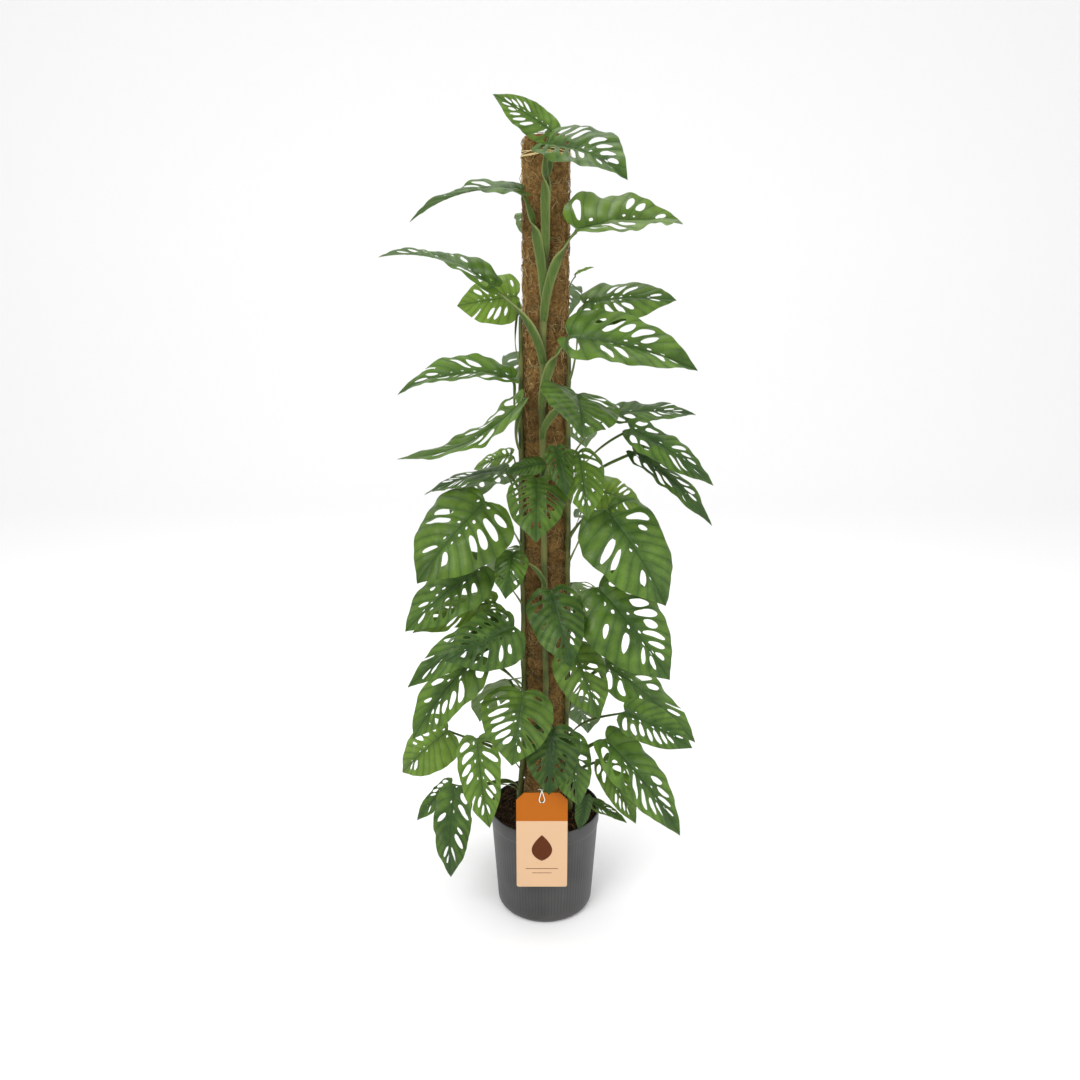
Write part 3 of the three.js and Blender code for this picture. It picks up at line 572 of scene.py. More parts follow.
def bladeField(shape, index, side, number, stepsA, cell):
    # a grid of points over one field, and how many of them run from vein to vein; each point has its
    # out and t, its openness, its distance to the nearest vein, that as a share, its a and its field
    length = bladeFrame(shape)[4]
    halfWidth = shape["width"] * length / 2
    lastField = len(fields) - 1
    nearStart, farStart, nearEnd, farEnd = fields[number]
    nearRim, farRim = outlineAt(np.array([float(nearEnd), float(farEnd)]))
    span = (np.hypot(*((farRim - nearRim) * (halfWidth, length))) + length * (farStart - nearStart)) / 2
    stepsB = np.linspace(0, 1, max(4, int(round(span / cell))) + 1)
    a, b = (grid.ravel() for grid in np.meshgrid(stepsA, stepsB, indexing="ij"))
    place = nearEnd + (farEnd - nearEnd) * b
    rim = outlineAt(place)
    start = nearStart + (farStart - nearStart) * b
    ease = np.clip(place / 2, 0, 1) * np.clip((10 - place) / 2, 0, 1)
    t = start + (rim[:, 1] - start) * a - bladeForm["veinSweep"] * 4 * a * (1 - a) * ease
    keep = np.full(a.shape, offHoles)
    if 0 < number < lastField:
        keep = openness(index, side, number, length, shape["holed"], a, b)
    near = np.minimum(b, 1 - b)
    if number == 0:
        near = 1 - b
    if number == lastField:
        near = b
    gapT = length * np.abs((farStart - nearStart) * (1 - a) + (farRim[1] - nearRim[1]) * a)
    gapX = halfWidth * a * abs(farRim[0] - nearRim[0])
    toVein = near * np.hypot(gapT, gapX) * 0.9
    return perPoint(len(a), side * a * rim[:, 0], t, keep, toVein, near, a, number), len(stepsB)


def gridTriangles(rows, columns):
    # two triangles in each cell of a grid, with every second cell cut the other way
    grid = np.arange(rows * columns).reshape(rows, columns)
    p, q, r, s = grid[:-1, :-1].ravel(), grid[1:, :-1].ravel(), grid[1:, 1:].ravel(), grid[:-1, 1:].ravel()
    odd = np.add.outer(np.arange(rows - 1), np.arange(columns - 1)).ravel()[:, None] % 2 == 1
    first = np.where(odd, np.column_stack([p, q, r]), np.column_stack([p, q, s]))
    second = np.where(odd, np.column_stack([p, r, s]), np.column_stack([q, r, s]))
    return np.vstack([first, second])


def bladeSheet(shape, index, cell):
    # the blade laid flat: rows of point values and triangles, with its holes cut out
    length = bladeFrame(shape)[4]
    halfWidth = shape["width"] * length / 2
    stepsA = stepsFrom(halfWidth, cell, bladeForm["firstSteps"])
    rows, faces = [], []
    count = 0
    for side in (1, -1):
        for number in range(len(fields)):
            field, columns = bladeField(shape, index, side, number, stepsA, cell)
            triangles = count + gridTriangles(len(stepsA), columns)
            faces.append(triangles if side > 0 else triangles[:, ::-1])
            rows.append(field)
            count += len(field)
    return clipSheet(*weldSheet(np.vstack(rows), np.vstack(faces), np.array([halfWidth, length])))


def weldSheet(rows, faces, scale):
    # makes one point of those that lie within a fiftieth of a millimetre
    spots = np.round(rows[:, :2] * scale / 0.02).astype(np.int64)
    _, kept, back = np.unique(spots, axis=0, return_index=True, return_inverse=True)
    faces = back.ravel()[faces]
    p, q, r = faces.T
    return rows[kept], faces[(p != q) & (q != r) & (p != r)]


def clipSheet(rows, faces):
    # keeps what has a positive openness, which is the third column
    least = 0.02
    keep = rows[:, 2].copy()
    keep[np.abs(keep) < least] = least
    rows[:, 2] = keep
    inside = keep[faces] > 0
    total = inside.sum(axis=1)
    added, known, new = [], {}, []

    def cut(p, q):
        pair = (p, q) if p < q else (q, p)
        if pair not in known:
            share = keep[pair[0]] / (keep[pair[0]] - keep[pair[1]])
            share = min(max(share, 0.06), 0.94)
            known[pair] = len(rows) + len(added)
            added.append(rows[pair[0]] + share * (rows[pair[1]] - rows[pair[0]]))
        return known[pair]

    for face, flags, number in zip(faces, inside, total):
        if number in (0, 3):
            continue
        lead = int(np.argmax(flags)) if number == 1 else int(np.argmin(flags))
        p, q, r = face[lead], face[(lead + 1) % 3], face[(lead + 2) % 3]
        first, second = cut(p, q), cut(p, r)
        if number == 1:
            new.append((p, first, second))
        else:
            new += [(first, q, r), (first, r, second)]
    faces = faces[total == 3]
    if new:
        faces = np.vstack([faces, new])
        rows = np.vstack([rows, added])
    used, back = np.unique(faces, return_inverse=True)
    return rows[used], back.reshape(faces.shape)


def pointNormals(points, faces):
    p, q, r = (points[faces[:, k]] for k in range(3))
    across = np.cross(q - p, r - p)
    total = np.zeros_like(points)
    for k in range(3):
        np.add.at(total, faces[:, k], across)
    return unitRows(total)


def closeTo(distance, reach):
    # 1 on a line, and next to nothing from two reaches off it
    return np.exp(-(distance / reach) ** 2)


def bladeLift(index, size, x, y, toMid, toVein, a):
    # how far the blade swells between its veins and crumples, with its midrib held still
    quilt = bladeForm["quilt"] * (1 - closeTo(toVein, 5 * size)) * np.clip(1.15 - a, 0, 1) ** 0.6
    phases = [2 * math.pi * draw(index, 100 + k) for k in range(3)]
    crumple = np.sin(x / 13 + y / 19 + phases[0]) + 0.8 * np.sin(x / 9 - y / 14 + phases[1])
    crumple = bladeForm["crumple"] * (crumple + 0.5 * np.sin(x / 6 + y / 7 + phases[2]))
    return size * (quilt + crumple) * (1 - closeTo(toMid, 8 * size))


def buildBlade(shape, index, cell):
    rows, faces = bladeSheet(shape, index, cell)
    out, t, _, toVein, near, a, number = rows.T
    length = bladeFrame(shape)[4]
    size = length / 200  # relief is given for a leaf of 200
    sideways = out * shape["width"] * length / 2
    toMid = np.abs(sideways)
    points = bladeSurface(shape, index, out, t)
    lift = bladeLift(index, size, sideways / size, t * length / size, toMid, toVein, a)
    points = points + pointNormals(points, faces) * lift[:, None]
    normals = pointNormals(points, faces)
    groove = bladeForm["midribGroove"] * size * closeTo(toMid, 1.7 * size)
    ridge = bladeForm["midribRidge"] * size * (1 - 0.75 * np.clip(t, 0, 1)) * closeTo(toMid, 1.6 * size)
    sideRidge = bladeForm["sideRidge"] * size * (1 - 0.8 * a) * closeTo(toVein, 1.2 * size)
    sideRidge = np.where((number == 0) & (near > 0.9), 0, sideRidge)
    half = bladeForm["thickness"] / 2
    upper = points + normals * (half - groove)[:, None]
    lower = points - normals * (half + ridge + sideRidge)[:, None]
    total = len(points)
    edges = np.vstack([faces[:, [0, 1]], faces[:, [1, 2]], faces[:, [2, 0]]]).astype(np.int64)
    lone = ~np.isin(edges[:, 0] * total + edges[:, 1], edges[:, 1] * total + edges[:, 0])
    p, q = edges[lone].T
    walls = np.column_stack([q, p, p + total, q + total])
    # shade: a random tone for each leaf, and its lit value, which paints shade or light over the whole leaf
    shade = 0.3 * draw(index, 91) + 0.7 * shape["lit"]
    mood = perPoint(total, shade, shape["fresh"], np.clip(near * 2, 0, 1))
    veins = np.column_stack([toMid, toVein]) / 10 / size
    spread = np.column_stack([out * shape["width"] / 2 + 0.5 + index * 0.37, t + index * 0.61])
    return {
        "points": np.vstack([upper, lower]),
        "faces": faces.tolist() + (faces[:, ::-1] + total).tolist() + walls.tolist(),
        "under": np.repeat([0, 1], [len(faces), len(faces) + len(walls)]),
        "mood": np.vstack([mood, mood]),
        "veins": np.vstack([veins, veins]),
        "spread": np.vstack([spread, spread]),
    }


def buildLeaves(vine, firstIndex, upperMaterial, underMaterial):
    cell = bladeForm["backCell" if vine["name"].startswith("back") else "cell"]
    blades = [buildBlade(shape, firstIndex + i, cell) for i, shape in enumerate(vine["leaves"])]
    points, faces = joinParts(blades)
    under, mood, veins, spread = (
        np.concatenate([blade[key] for blade in blades]) for key in ("under", "mood", "veins", "spread"))
    piece = makeMesh("leaves_" + vine["name"], points, faces, [upperMaterial, underMaterial], under)
    giveUv(piece, "veins", veins)
    giveUv(piece, "spread", spread)
    giveMood(piece, mood)
    smoothByAngle(piece, 40)
    place(piece, "foliage", "vine_" + vine["name"])


# vein: on the upper side a dark green, painted shade in the sunken veins and midrib; on the underside the
# veins' own pale colour
leafTints = {
    "leafUpper": {
        "deep": tint(32, 58, 14), "plain": tint(82, 113, 40), "bright": tint(130, 164, 52),
        "vein": tint(36, 64, 18), "roughness": 0.34,
    },
    "leafUnder": {
        "deep": tint(72, 98, 52), "plain": tint(98, 124, 78), "bright": tint(132, 160, 70),
        "vein": tint(118, 140, 90), "roughness": 0.5,
    },
}


def paintLeaf(name):
    look = leafTints[name]
    deep, plain, bright = look["deep"], look["plain"], look["bright"]
    paint = Paint(name, roughness=look["roughness"], shine=0.22)
    shade, fresh, near = paint.mood()
    toMid, toSide, _ = paint.split(paint.uv("veins"))
    spread = paint.uv("spread")
    cloud = paint.speckle(paint.place(), 22, detail=4)
    patch = paint.speckle(spread, 9, detail=3)
    fine = paint.speckle(spread, 46, detail=3, roughness=0.7)
    # shade brings each leaf's painted light and shade, from its lit value, with a random tone
    tone = (cloud * 0.9 + shade * 0.6 + patch * 0.5 + fine * 0.2 - 0.695).rise(0.1, 0.8)
    color = paint.blend(tone, deep, plain)
    color = paint.blend(fresh * (0.55 + cloud * 0.5), color, bright)
    # painted shade: the blade darkens towards the deep green along its midrib, as if in its groove
    midribShade = 1 - toMid.rise(0.1, 1.7)
    color = paint.blend(midribShade * 0.42 * (1 - fresh * 0.5), color, deep)
    # painted light: the middle of each field between the veins, where the blade swells, is lightened towards
    # the bright green
    color = paint.blend(near * toMid.rise(0.8, 2.6) * 0.16, color, bright)
    net = paint.node(
        "ShaderNodeTexVoronoi", {"feature": "DISTANCE_TO_EDGE"}, {"Vector": spread, "Scale": 34.0})
    # on the upper side these masks paint shade into the sunken side veins, the midrib and the fine net, with
    # a soft band of painted shade round each side vein; on the underside they give the veins their own pale
    # colour
    netMask = 1 - net.rise(0.0, 0.09)
    midMask = 1 - toMid.rise(0.06, 0.2)
    sideMask = 1 - toSide.rise(0.02, 0.14)
    veinShadeAndTone = 1 - toSide.rise(0.05, 0.6)
    color = paint.blend(sideMask * 0.35 + veinShadeAndTone * 0.12 + netMask * 0.08, color, look["vein"])
    color = paint.blend(midMask * 0.6, color, look["vein"])
    height = (1 - sideMask) * 0.6 + fine * 0.4 + (1 - netMask) * 0.35
    if name == "leafUnder":
        height = sideMask * 0.7 + fine * 0.4 + netMask * 0.5
    dull = fine * 0.16 + cloud * 0.14 + (look["roughness"] - 0.14)
    return paint.finish(color, dull, height, depth=0.0007, strength=0.5)


# Stems and stalks


def stemPoint(vine, height):
    form = stemForm
    lean = np.clip((height - form["leanFrom"]) / (form["leanTo"] - form["leanFrom"]), 0, 1)
    lean = lean * lean * (3 - 2 * lean)
    onPole = pole["radius"] + form["offPole"] + vine["radius"]
    radius = form["footRadius"] + (onPole - form["footRadius"]) * lean
    sway = form["sway"] * lean * np.sin((height - form["leanTo"]) / form["swayLength"])
    angle = math.radians(vine["azimuth"] + sway)
    return np.array([radius * math.cos(angle), radius * math.sin(angle), height])


def stalkPath(vine, shape, index):
    # centre line from inside the stem up to the blade's base, as points
    form = stalkForm
    start = stemPoint(vine, shape["from"])
    base, along, up, _, length = bladeFrame(shape)
    below = -unit(up + np.array([0, 0, 1]))
    knee = base + form["kneeDrop"] * below - form["kneeRadius"] * along
    span = np.linalg.norm(knee - start)
    outward = np.array([knee[0] - start[0], knee[1] - start[1], 0])
    lead = min(form["lead"] * span, np.linalg.norm(outward) / 2)
    away = unit(np.array([start[0], start[1], 0]))
    rise = start + min(0.2 * span, form["reach"]) * away + np.array([0, 0, 0.34 * span])
    arrive = knee - lead * unit(outward) - np.array([0, 0, 0.12 * span])
    t = np.linspace(0, 1, form["rings"])[:, None]
    s = 1 - t
    path = s ** 3 * start + 3 * s ** 2 * t * rise + 3 * s * t ** 2 * arrive + t ** 3 * knee
    firstVein = 0.17  # where a side vein leaves the midrib, along which the stalk's end sinks in
    ahead = bladeSurface(shape, index, np.array([0.0]), np.array([firstVein]))[0]
    tip = base + (ahead - base) * form["sunk"] * 2 / (firstVein * length)
    bend = (knee + base) / 2 + below * 0.4
    return np.vstack([path, bend, base + below * 1.0, tip + below * 0.5]), away, up


def loft(path, leadStart, leadEnd, sectionAt, sides):
    # sweeps a section along a path; sectionAt gives its points across and outward at a share of it
    lengths = np.concatenate([[0], np.cumsum(np.linalg.norm(np.diff(path, axis=0), axis=1))])
    share = lengths / lengths[-1]
    points = []
    for point, tangent, f in zip(path, np.gradient(path, axis=0), share):
        tangent = unit(tangent)
        lead = leadStart * (1 - f) + leadEnd * f
        lead = unit(lead - np.dot(lead, tangent) * tangent)
        across, outward = sectionAt(f)
        points.append(point + np.outer(across, np.cross(tangent, lead)) + np.outer(outward, lead))
    return np.vstack(points), tubeFaces(len(path), sides), np.repeat(share, sides)


def buildStalk(vine, shape, index):
    form = stalkForm
    path, away, up = stalkPath(vine, shape, index)
    turn = circle(form["sides"])
    length = bladeFrame(shape)[4]
    if vine["name"] == "front":
        size = np.clip(length / form["frontLeaf"], 0.55, 1)
        sheath, end = form["frontSheath"], form["frontSheathEnd"]
    else:
        size = np.clip(length / form["usualLeaf"], 0.45, 1.1)
        sheath, end = form["sheath"], form["sheathEnd"]
    sheath, neck, knee = (size * width / 2 for width in (sheath, form["neckWidth"], form["kneeWidth"]))
    kneeShare = 1 - form["kneeLength"] / np.linalg.norm(path[-1] - path[0])
    end = min(end, kneeShare - 0.18)
    # share of the way, half width, half depth, depth of the groove
    stations = [
        (0, 0.6 * sheath, 0.6 * sheath, 0.4),
        (0.06, 0.85 * sheath, 0.6 * sheath, 0.55),
        (end * 0.7, sheath, 0.5 * sheath, 0.6),
        (end, 0.88 * sheath, 0.48 * sheath, 0.5),
        (min(end + 0.16, kneeShare - 0.08), 1.25 * neck, 0.95 * neck, 0.35),
        (kneeShare - 0.05, neck, neck, 0.25),
        (kneeShare + 0.01, knee, knee, 0.1),
        (0.985, 0.8 * knee, 0.7 * knee, 0.05),
        (1.0, 0.3, 0.2, 0),
    ]
    places, widths, depths, grooves = zip(*stations)

    def sectionAt(f):
        wide, deep, groove = (np.interp(f, places, values) for values in (widths, depths, grooves))
        x = wide * np.cos(turn)
        y = deep * np.sin(turn)
        hollow = groove * deep * (1 - (x / max(wide, 1e-6)) ** 2) * 0.9
        return x, np.where(np.sin(turn) > 0, y * (1 - groove) - hollow, y)

    points, faces, share = loft(path, -away, up, sectionAt, form["sides"])
    rim = np.tile(np.abs(np.cos(turn)) ** 6, len(path)) * np.clip((end + 0.25 - share) / 0.2, 0, 1)
    return {"points": points, "faces": faces, "mood": perPoint(len(points), draw(index, 93), rim, share)}


def buildStem(vine, rootSeed):
    # the stem and its roots; -1 and -2 in the mood mark them for the paint
    form = stemForm
    heights = np.arange(form["footHeight"], vine["top"] + 1, form["step"], dtype=float)
    path = np.array([stemPoint(vine, height) for height in heights])
    path[:, :2] += np.column_stack([np.sin(heights / 23), np.cos(heights / 29)]) * form["wander"]
    turn = circle(form["sides"])
    joints = [shape["from"] for shape in vine["leaves"]]
    span = heights[-1] - heights[0]

    def sectionAt(f):
        height = heights[0] + f * span
        swell = min(1, sum(math.exp(-((height - joint) / form["jointLength"]) ** 2) for joint in joints))
        radius = vine["radius"] * (1 + form["jointSwell"] * swell) * (1 - 0.35 * max(0, f - 0.85) / 0.15)
        ribs = 1 + 0.05 * np.cos(5 * turn + height / 70)
        return radius * ribs * np.cos(turn), radius * ribs * np.sin(turn)

    lead = unit(np.array([path[0][0], path[0][1], 0]))
    points, faces, _ = loft(path, lead, lead, sectionAt, form["sides"])
    parts = [{"points": points, "faces": faces, "mood": perPoint(len(points), 0.5, 0, -1)}]
    for k, joint in enumerate(joints):
        for n in range(form["rootsPerJoint"]):
            chance = draw(rootSeed + 7 * k, n)
            parts.append(buildRoot(vine, joint - 6 - 5 * n, chance, draw(rootSeed + 5 * k, n + 3)))
    return parts


def buildRoot(vine, height, chance, other):
    # an aerial root that leaves the stem at a joint and creeps round the coir
    start = stemPoint(vine, height)
    stemRadius = np.linalg.norm(start[:2])
    way = 1 if chance > 0.5 else -1
    reach = 0.35 + 0.9 * other
    f = np.linspace(0, 1, 9)
    angles = math.atan2(start[1], start[0]) + way * reach * f ** 1.3
    radii = stemRadius + (pole["radius"] + 0.6 - stemRadius) * np.clip(f * 4, 0, 1)
    levels = height - 26 * (chance - 0.35) * f + 4 * np.sin(7 * f + 6 * other)
    path = np.column_stack([radii * np.cos(angles), radii * np.sin(angles), levels])
    turn = circle(6)

    def sectionAt(f):
        radius = stemForm["rootRadius"] - 1.1 * f
        return radius * np.cos(turn), radius * np.sin(turn)

    points, faces, _ = loft(path, np.array([0, 0, 1.0]), np.array([0, 0, 1.0]), sectionAt, len(turn))
    return {"points": points, "faces": faces, "mood": perPoint(len(points), chance, 0, -2)}


def buildShoot(vine, firstIndex, material):
    parts = buildStem(vine, firstIndex * 3 + 1)
    parts += [buildStalk(vine, shape, firstIndex + i) for i, shape in enumerate(vine["leaves"])]
    points, faces = joinParts(parts)
    piece = makeMesh("shoot_" + vine["name"], points, faces, [material])
    giveMood(piece, np.vstack([part["mood"] for part in parts]))
    smoothByAngle(piece, 50)
    place(piece, "foliage", "vine_" + vine["name"])


def paintShoot():
    paint = Paint("stalkSkin", roughness=0.45, shine=0.2)
    where = paint.place()
    shade, rim, share = paint.mood()
    long = paint.streaks(where, (420, 420, 30), detail=3)
    cloud = paint.speckle(where, 30, detail=3)
    stemTone = paint.blend(cloud.rise(0.35, 0.65), tint(74, 84, 42), tint(112, 112, 62))
    rootTone = paint.blend(cloud.rise(0.3, 0.7), tint(84, 68, 40), tint(128, 112, 66))
    color = paint.blend((long * 0.9 + shade * 0.3 - 0.1).rise(0.1, 0.9), tint(52, 74, 24), tint(86, 106, 46))
    color = paint.blend(rim * 0.75, color, tint(146, 154, 96))
    color = paint.blend((1 - share.rise(-0.9, -0.6)) * 0.8, color, stemTone)
    color = paint.blend(1 - share.rise(-1.9, -1.6), color, rootTone)
    return paint.finish(color, cloud * 0.2 + 0.38, long, depth=0.0005, strength=0.5)


# Pole: coir wound on the core, with loose fibres and a twine at the top

coirForm = {
    "around": 84, "up": 300, "sunk": 1.2, "lump": 2.4,
    "fibresPerPiece": 3600, "fibreSteps": 4, "fibreLength": (9, 34), "fibreThin": 0.3, "fibreThick": 0.7,
    "standOff": 2.2, "mostStandOff": 4.5, "seed": 11,
    "fibresFrom": 190, "piecesMeet": 20, "fibresEnd": 2,  # height; above the middle; below the top
}

twineForm = {
    "height": 1381, "radius": 0.6, "turns": 5, "clearance": 1.6, "bulge": 20, "ripple": 0.8,
    "climb": 3.4, "cross": 2.2,
}


def buildCoir(material):
    around = coirForm["around"]
    shoulder = pole["top"] - pole["topRound"]
    radius = pole["radius"] - coirForm["sunk"]
    rings = [(radius, level) for level in np.linspace(pole["bottom"], shoulder, coirForm["up"])]
    rings += arc(radius - pole["topRound"], shoulder, pole["topRound"], 0, 90, 9)[1:]
    rings += [(20, pole["top"] - 1), (12, pole["top"] - 2), (5, pole["top"] - 3)]
    points = []
    for radius, level in rings:
        for angle in circle(around):
            x, y = math.cos(angle), math.sin(angle)
            spot = Vector((x * pole["radius"], y * pole["radius"], level))
            lump = noise.noise(spot * 0.045) + 0.7 * noise.noise(spot * 0.13) + 0.45 * noise.noise(spot * 0.4)
            push = radius + coirForm["lump"] * lump * min(1, radius / 25)
            rise = 0.8 * noise.noise(spot * 0.2 + Vector((9, 0, 0)))
            points.append((push * x, push * y, level + rise))
    points.append((0, 0, pole["top"] - 4))
    points.append((0, 0, pole["bottom"]))
    top, bottom = len(points) - 2, len(points) - 1
    faces = tubeFaces(len(rings), around, capped=False)
    last = top - around
    faces += [[last + k, last + (k + 1) % around, top] for k in range(around)]
    faces += [[(k + 1) % around, k, bottom] for k in range(around)]
    piece = makeMesh("coir_body", points, faces, [material])
    place(piece, "coir", "coir_wrap")


def buildFibres(name, low, high, seed, material):
    # curly fibres that lie on the coir and lift a little off it
    form = coirForm
    rng = np.random.default_rng(seed)
    count, steps = form["fibresPerPiece"], form["fibreSteps"]
    angle = rng.uniform(0, 2 * math.pi, count)
    height = rng.uniform(low, high, count)
    heading = rng.uniform(0, 2 * math.pi, count)
    length = rng.uniform(*form["fibreLength"], count)
    curl = rng.normal(0, 1.0, count)
    wiggle = rng.uniform(0, 6.28, count)
    lift = np.clip(rng.gamma(1.6, 0.5, count) * form["standOff"] * 0.5, 0, form["mostStandOff"])
    thick = rng.uniform(form["fibreThin"], form["fibreThick"], count)
    depth = rng.uniform(-0.6, 0.7, count)
    shade = rng.uniform(0, 1, count)

    f = np.linspace(0, 1, steps + 1)
    direction = heading[:, None] + curl[:, None] * (f - 0.5) * 2.6 + 0.5 * np.sin(9 * f + wiggle[:, None])
    stepLength = length[:, None] / steps
    angles = angle[:, None] + np.cumsum(np.cos(direction) * stepLength, axis=1) / pole["radius"]
    levels = height[:, None] + np.cumsum(np.sin(direction) * stepLength, axis=1)
    levels = np.clip(levels, low, pole["top"] + 1.5)
    over = np.clip((levels - pole["top"]) / pole["topRound"] + 1, 0, 1)
    radii = pole["radius"] - 0.3 + lift[:, None] * np.sin(math.pi * f) ** 1.5 + depth[:, None]
    radii = radii - pole["topRound"] * (1 - np.sqrt(np.maximum(0, 1 - over ** 2)))
    path = np.stack([radii * np.cos(angles), radii * np.sin(angles), levels], axis=2)
    tangent = unitRows(np.gradient(path, axis=1))
    outward = np.stack([np.cos(angles), np.sin(angles), np.zeros_like(angles)], axis=2)
    cross = unitRows(np.cross(tangent, outward))
    outward = np.cross(cross, tangent)

    # three corners at every step, and a triangle at both ends
    turn = circle(3)[None, None, :, None]
    ring = np.cos(turn) * outward[:, :, None, :] + np.sin(turn) * cross[:, :, None, :]
    taper = (0.55 + 0.45 * np.sin(math.pi * f))[None, :, None, None] * thick[:, None, None, None]
    points = (path[:, :, None, :] + ring * taper).reshape(-1, 3)
    first = np.arange(count) * (steps + 1) * 3
    last = first + steps * 3
    base = first[:, None, None] + (np.arange(steps) * 3)[None, :, None]
    here = np.arange(3)[None, None, :]
    ahead = (here + 1) % 3
    quads = np.stack([base + here, base + 3 + here, base + 3 + ahead, base + ahead], axis=3).reshape(-1, 4)
    caps = np.vstack([first[:, None] + [0, 1, 2], last[:, None] + [0, 2, 1]])
    piece = makeMesh(name, points, quads.tolist() + caps.tolist(), [material])
    giveMood(piece, perPoint(len(points), np.repeat(shade, (steps + 1) * 3), 0, 0))
    place(piece, "coir")


def paintCoir():
    paint = Paint("coirMat", roughness=0.95, shine=0.15)
    where = paint.place()
    clump = paint.speckle(where, 75, detail=5, roughness=0.65, distortion=1.2)
    threads = paint.streaks(where, (420, 420, 200), detail=4, roughness=0.7, distortion=2.5)
    color = paint.blend(clump.rise(0.33, 0.64), tint(78, 54, 20), tint(150, 114, 62))
    color = paint.blend(threads.rise(0.48, 0.7) * 0.75, color, tint(196, 160, 108))
    return paint.finish(color, None, threads + clump * 0.6, depth=0.003, strength=0.9)


def paintFibre():
    paint = Paint("coirFibre", roughness=0.75, shine=0.25)
    shade, _, _ = paint.mood()
    cloud = paint.speckle(paint.place(), 60, detail=2)
    return paint.finish(paint.ramp(
        shade * 0.8 + cloud * 0.5 - 0.15,
        (0.0, tint(84, 62, 26)), (0.4, tint(134, 104, 56)),
        (0.7, tint(172, 142, 90)), (1.0, tint(214, 190, 142))))


def buildLoop(name, path, radius, sides, material):
    # a round string along a closed line of points
    turn = circle(sides)
    lead = np.array([0.13, 0.2, 1.0])
    points = []
    for point, tangent in zip(path, np.roll(path, -1, axis=0) - np.roll(path, 1, axis=0)):
        tangent = unit(tangent)
        lead = unit(lead - np.dot(lead, tangent) * tangent)
        cross = np.cross(tangent, lead)
        points.append(point + radius * (np.outer(np.cos(turn), lead) + np.outer(np.sin(turn), cross)))
    return makeMesh(name, np.vstack(points), tubeFaces(len(path), sides, closed=True), [material])


def buildTwine(material):
    # the turns lie on the coir and bulge over the stalks in front of it
    form = twineForm
    turns = form["turns"]
    angles = np.linspace(0, 2 * math.pi * turns, 64 * turns, endpoint=False)
    inFront = np.maximum(0, np.cos(angles + math.pi / 2)) ** 12
    radius = pole["radius"] + form["clearance"] + form["bulge"] * inFront
    radius = radius + form["ripple"] * np.sin(angles * 3.2)
    climb = form["climb"] * np.sin(angles / turns) + form["cross"] * np.sin(angles * 1.4 + 1)
    path = np.column_stack([radius * np.cos(angles), radius * np.sin(angles), form["height"] + climb])
    piece = buildLoop("twine_wraps", path, form["radius"], 8, material)
    place(piece, "twine", "pole_tie")


def paintStrands(paint, scales, dark, light, detail=2, sharp=False, depth=0.0004):
    # a plain material with strands or grain, whose two tones meet softly or sharply
    strands = paint.streaks(paint.place(), scales, detail=detail)
    share = strands.rise(0.3, 0.7) if sharp else strands
    return paint.finish(paint.blend(share, dark, light), None, strands, depth=depth)


def paintCore():
    paint = Paint("bareWood", roughness=0.7)
    return paintStrands(paint, (240, 240, 12), tint(150, 118, 76), tint(190, 158, 112), detail=3)


def paintTwine():
    paint = Paint("palmTwine", roughness=0.8, shine=0.2)
    return paintStrands(paint, (900, 900, 2200), tint(196, 168, 108), tint(240, 222, 172), sharp=True)


# Soil

soilForm = {
    "edge": 196, "crown": 208, "around": 160, "topRings": 52,
    "side": [(0.4, 4), (84, 4), (88.5, 14), (94, 90), (99.6, 176), (100.6, 190)],  # radius and height
    "topFrom": 100.4, "topTo": 1.5, "flatRadius": 45, "slopeLength": 55,
}

# loose bits on the soil: how many, smallest and largest radius, flatness and seed
crumbForms = {
    "soil_crumbs": {"count": 1100, "smallest": 0.9, "largest": 3.4, "flat": 0.8, "seed": 5},
    "soil_bark": {"count": 240, "smallest": 2.5, "largest": 7.0, "flat": 0.45, "seed": 6},
}


def soilHeight(x, y):
    share = min(max((math.hypot(x, y) - soilForm["flatRadius"]) / soilForm["slopeLength"], 0), 1)
    level = soilForm["crown"] + (soilForm["edge"] - soilForm["crown"]) * share ** 1.6
    spot = Vector((x, y, 0))
    lumps = 3.0 * noise.noise(spot * 0.05) + 2.2 * noise.noise(spot * 0.13) + 1.2 * noise.noise(spot * 0.35)
    return level + lumps * (1 - 0.5 * share)


def buildSoil(material):
    form = soilForm
    ways = [(math.cos(angle), math.sin(angle)) for angle in circle(form["around"])]
    points = [(radius * x, radius * y, level) for radius, level in form["side"] for x, y in ways]
    for radius in np.linspace(form["topFrom"], form["topTo"], form["topRings"]):
        points += [(radius * x, radius * y, soilHeight(radius * x, radius * y)) for x, y in ways]
    faces = tubeFaces(len(form["side"]) + form["topRings"], form["around"])
    piece = makeMesh("soil_bed", points, faces, [material])
    place(piece, "soil", "soil")


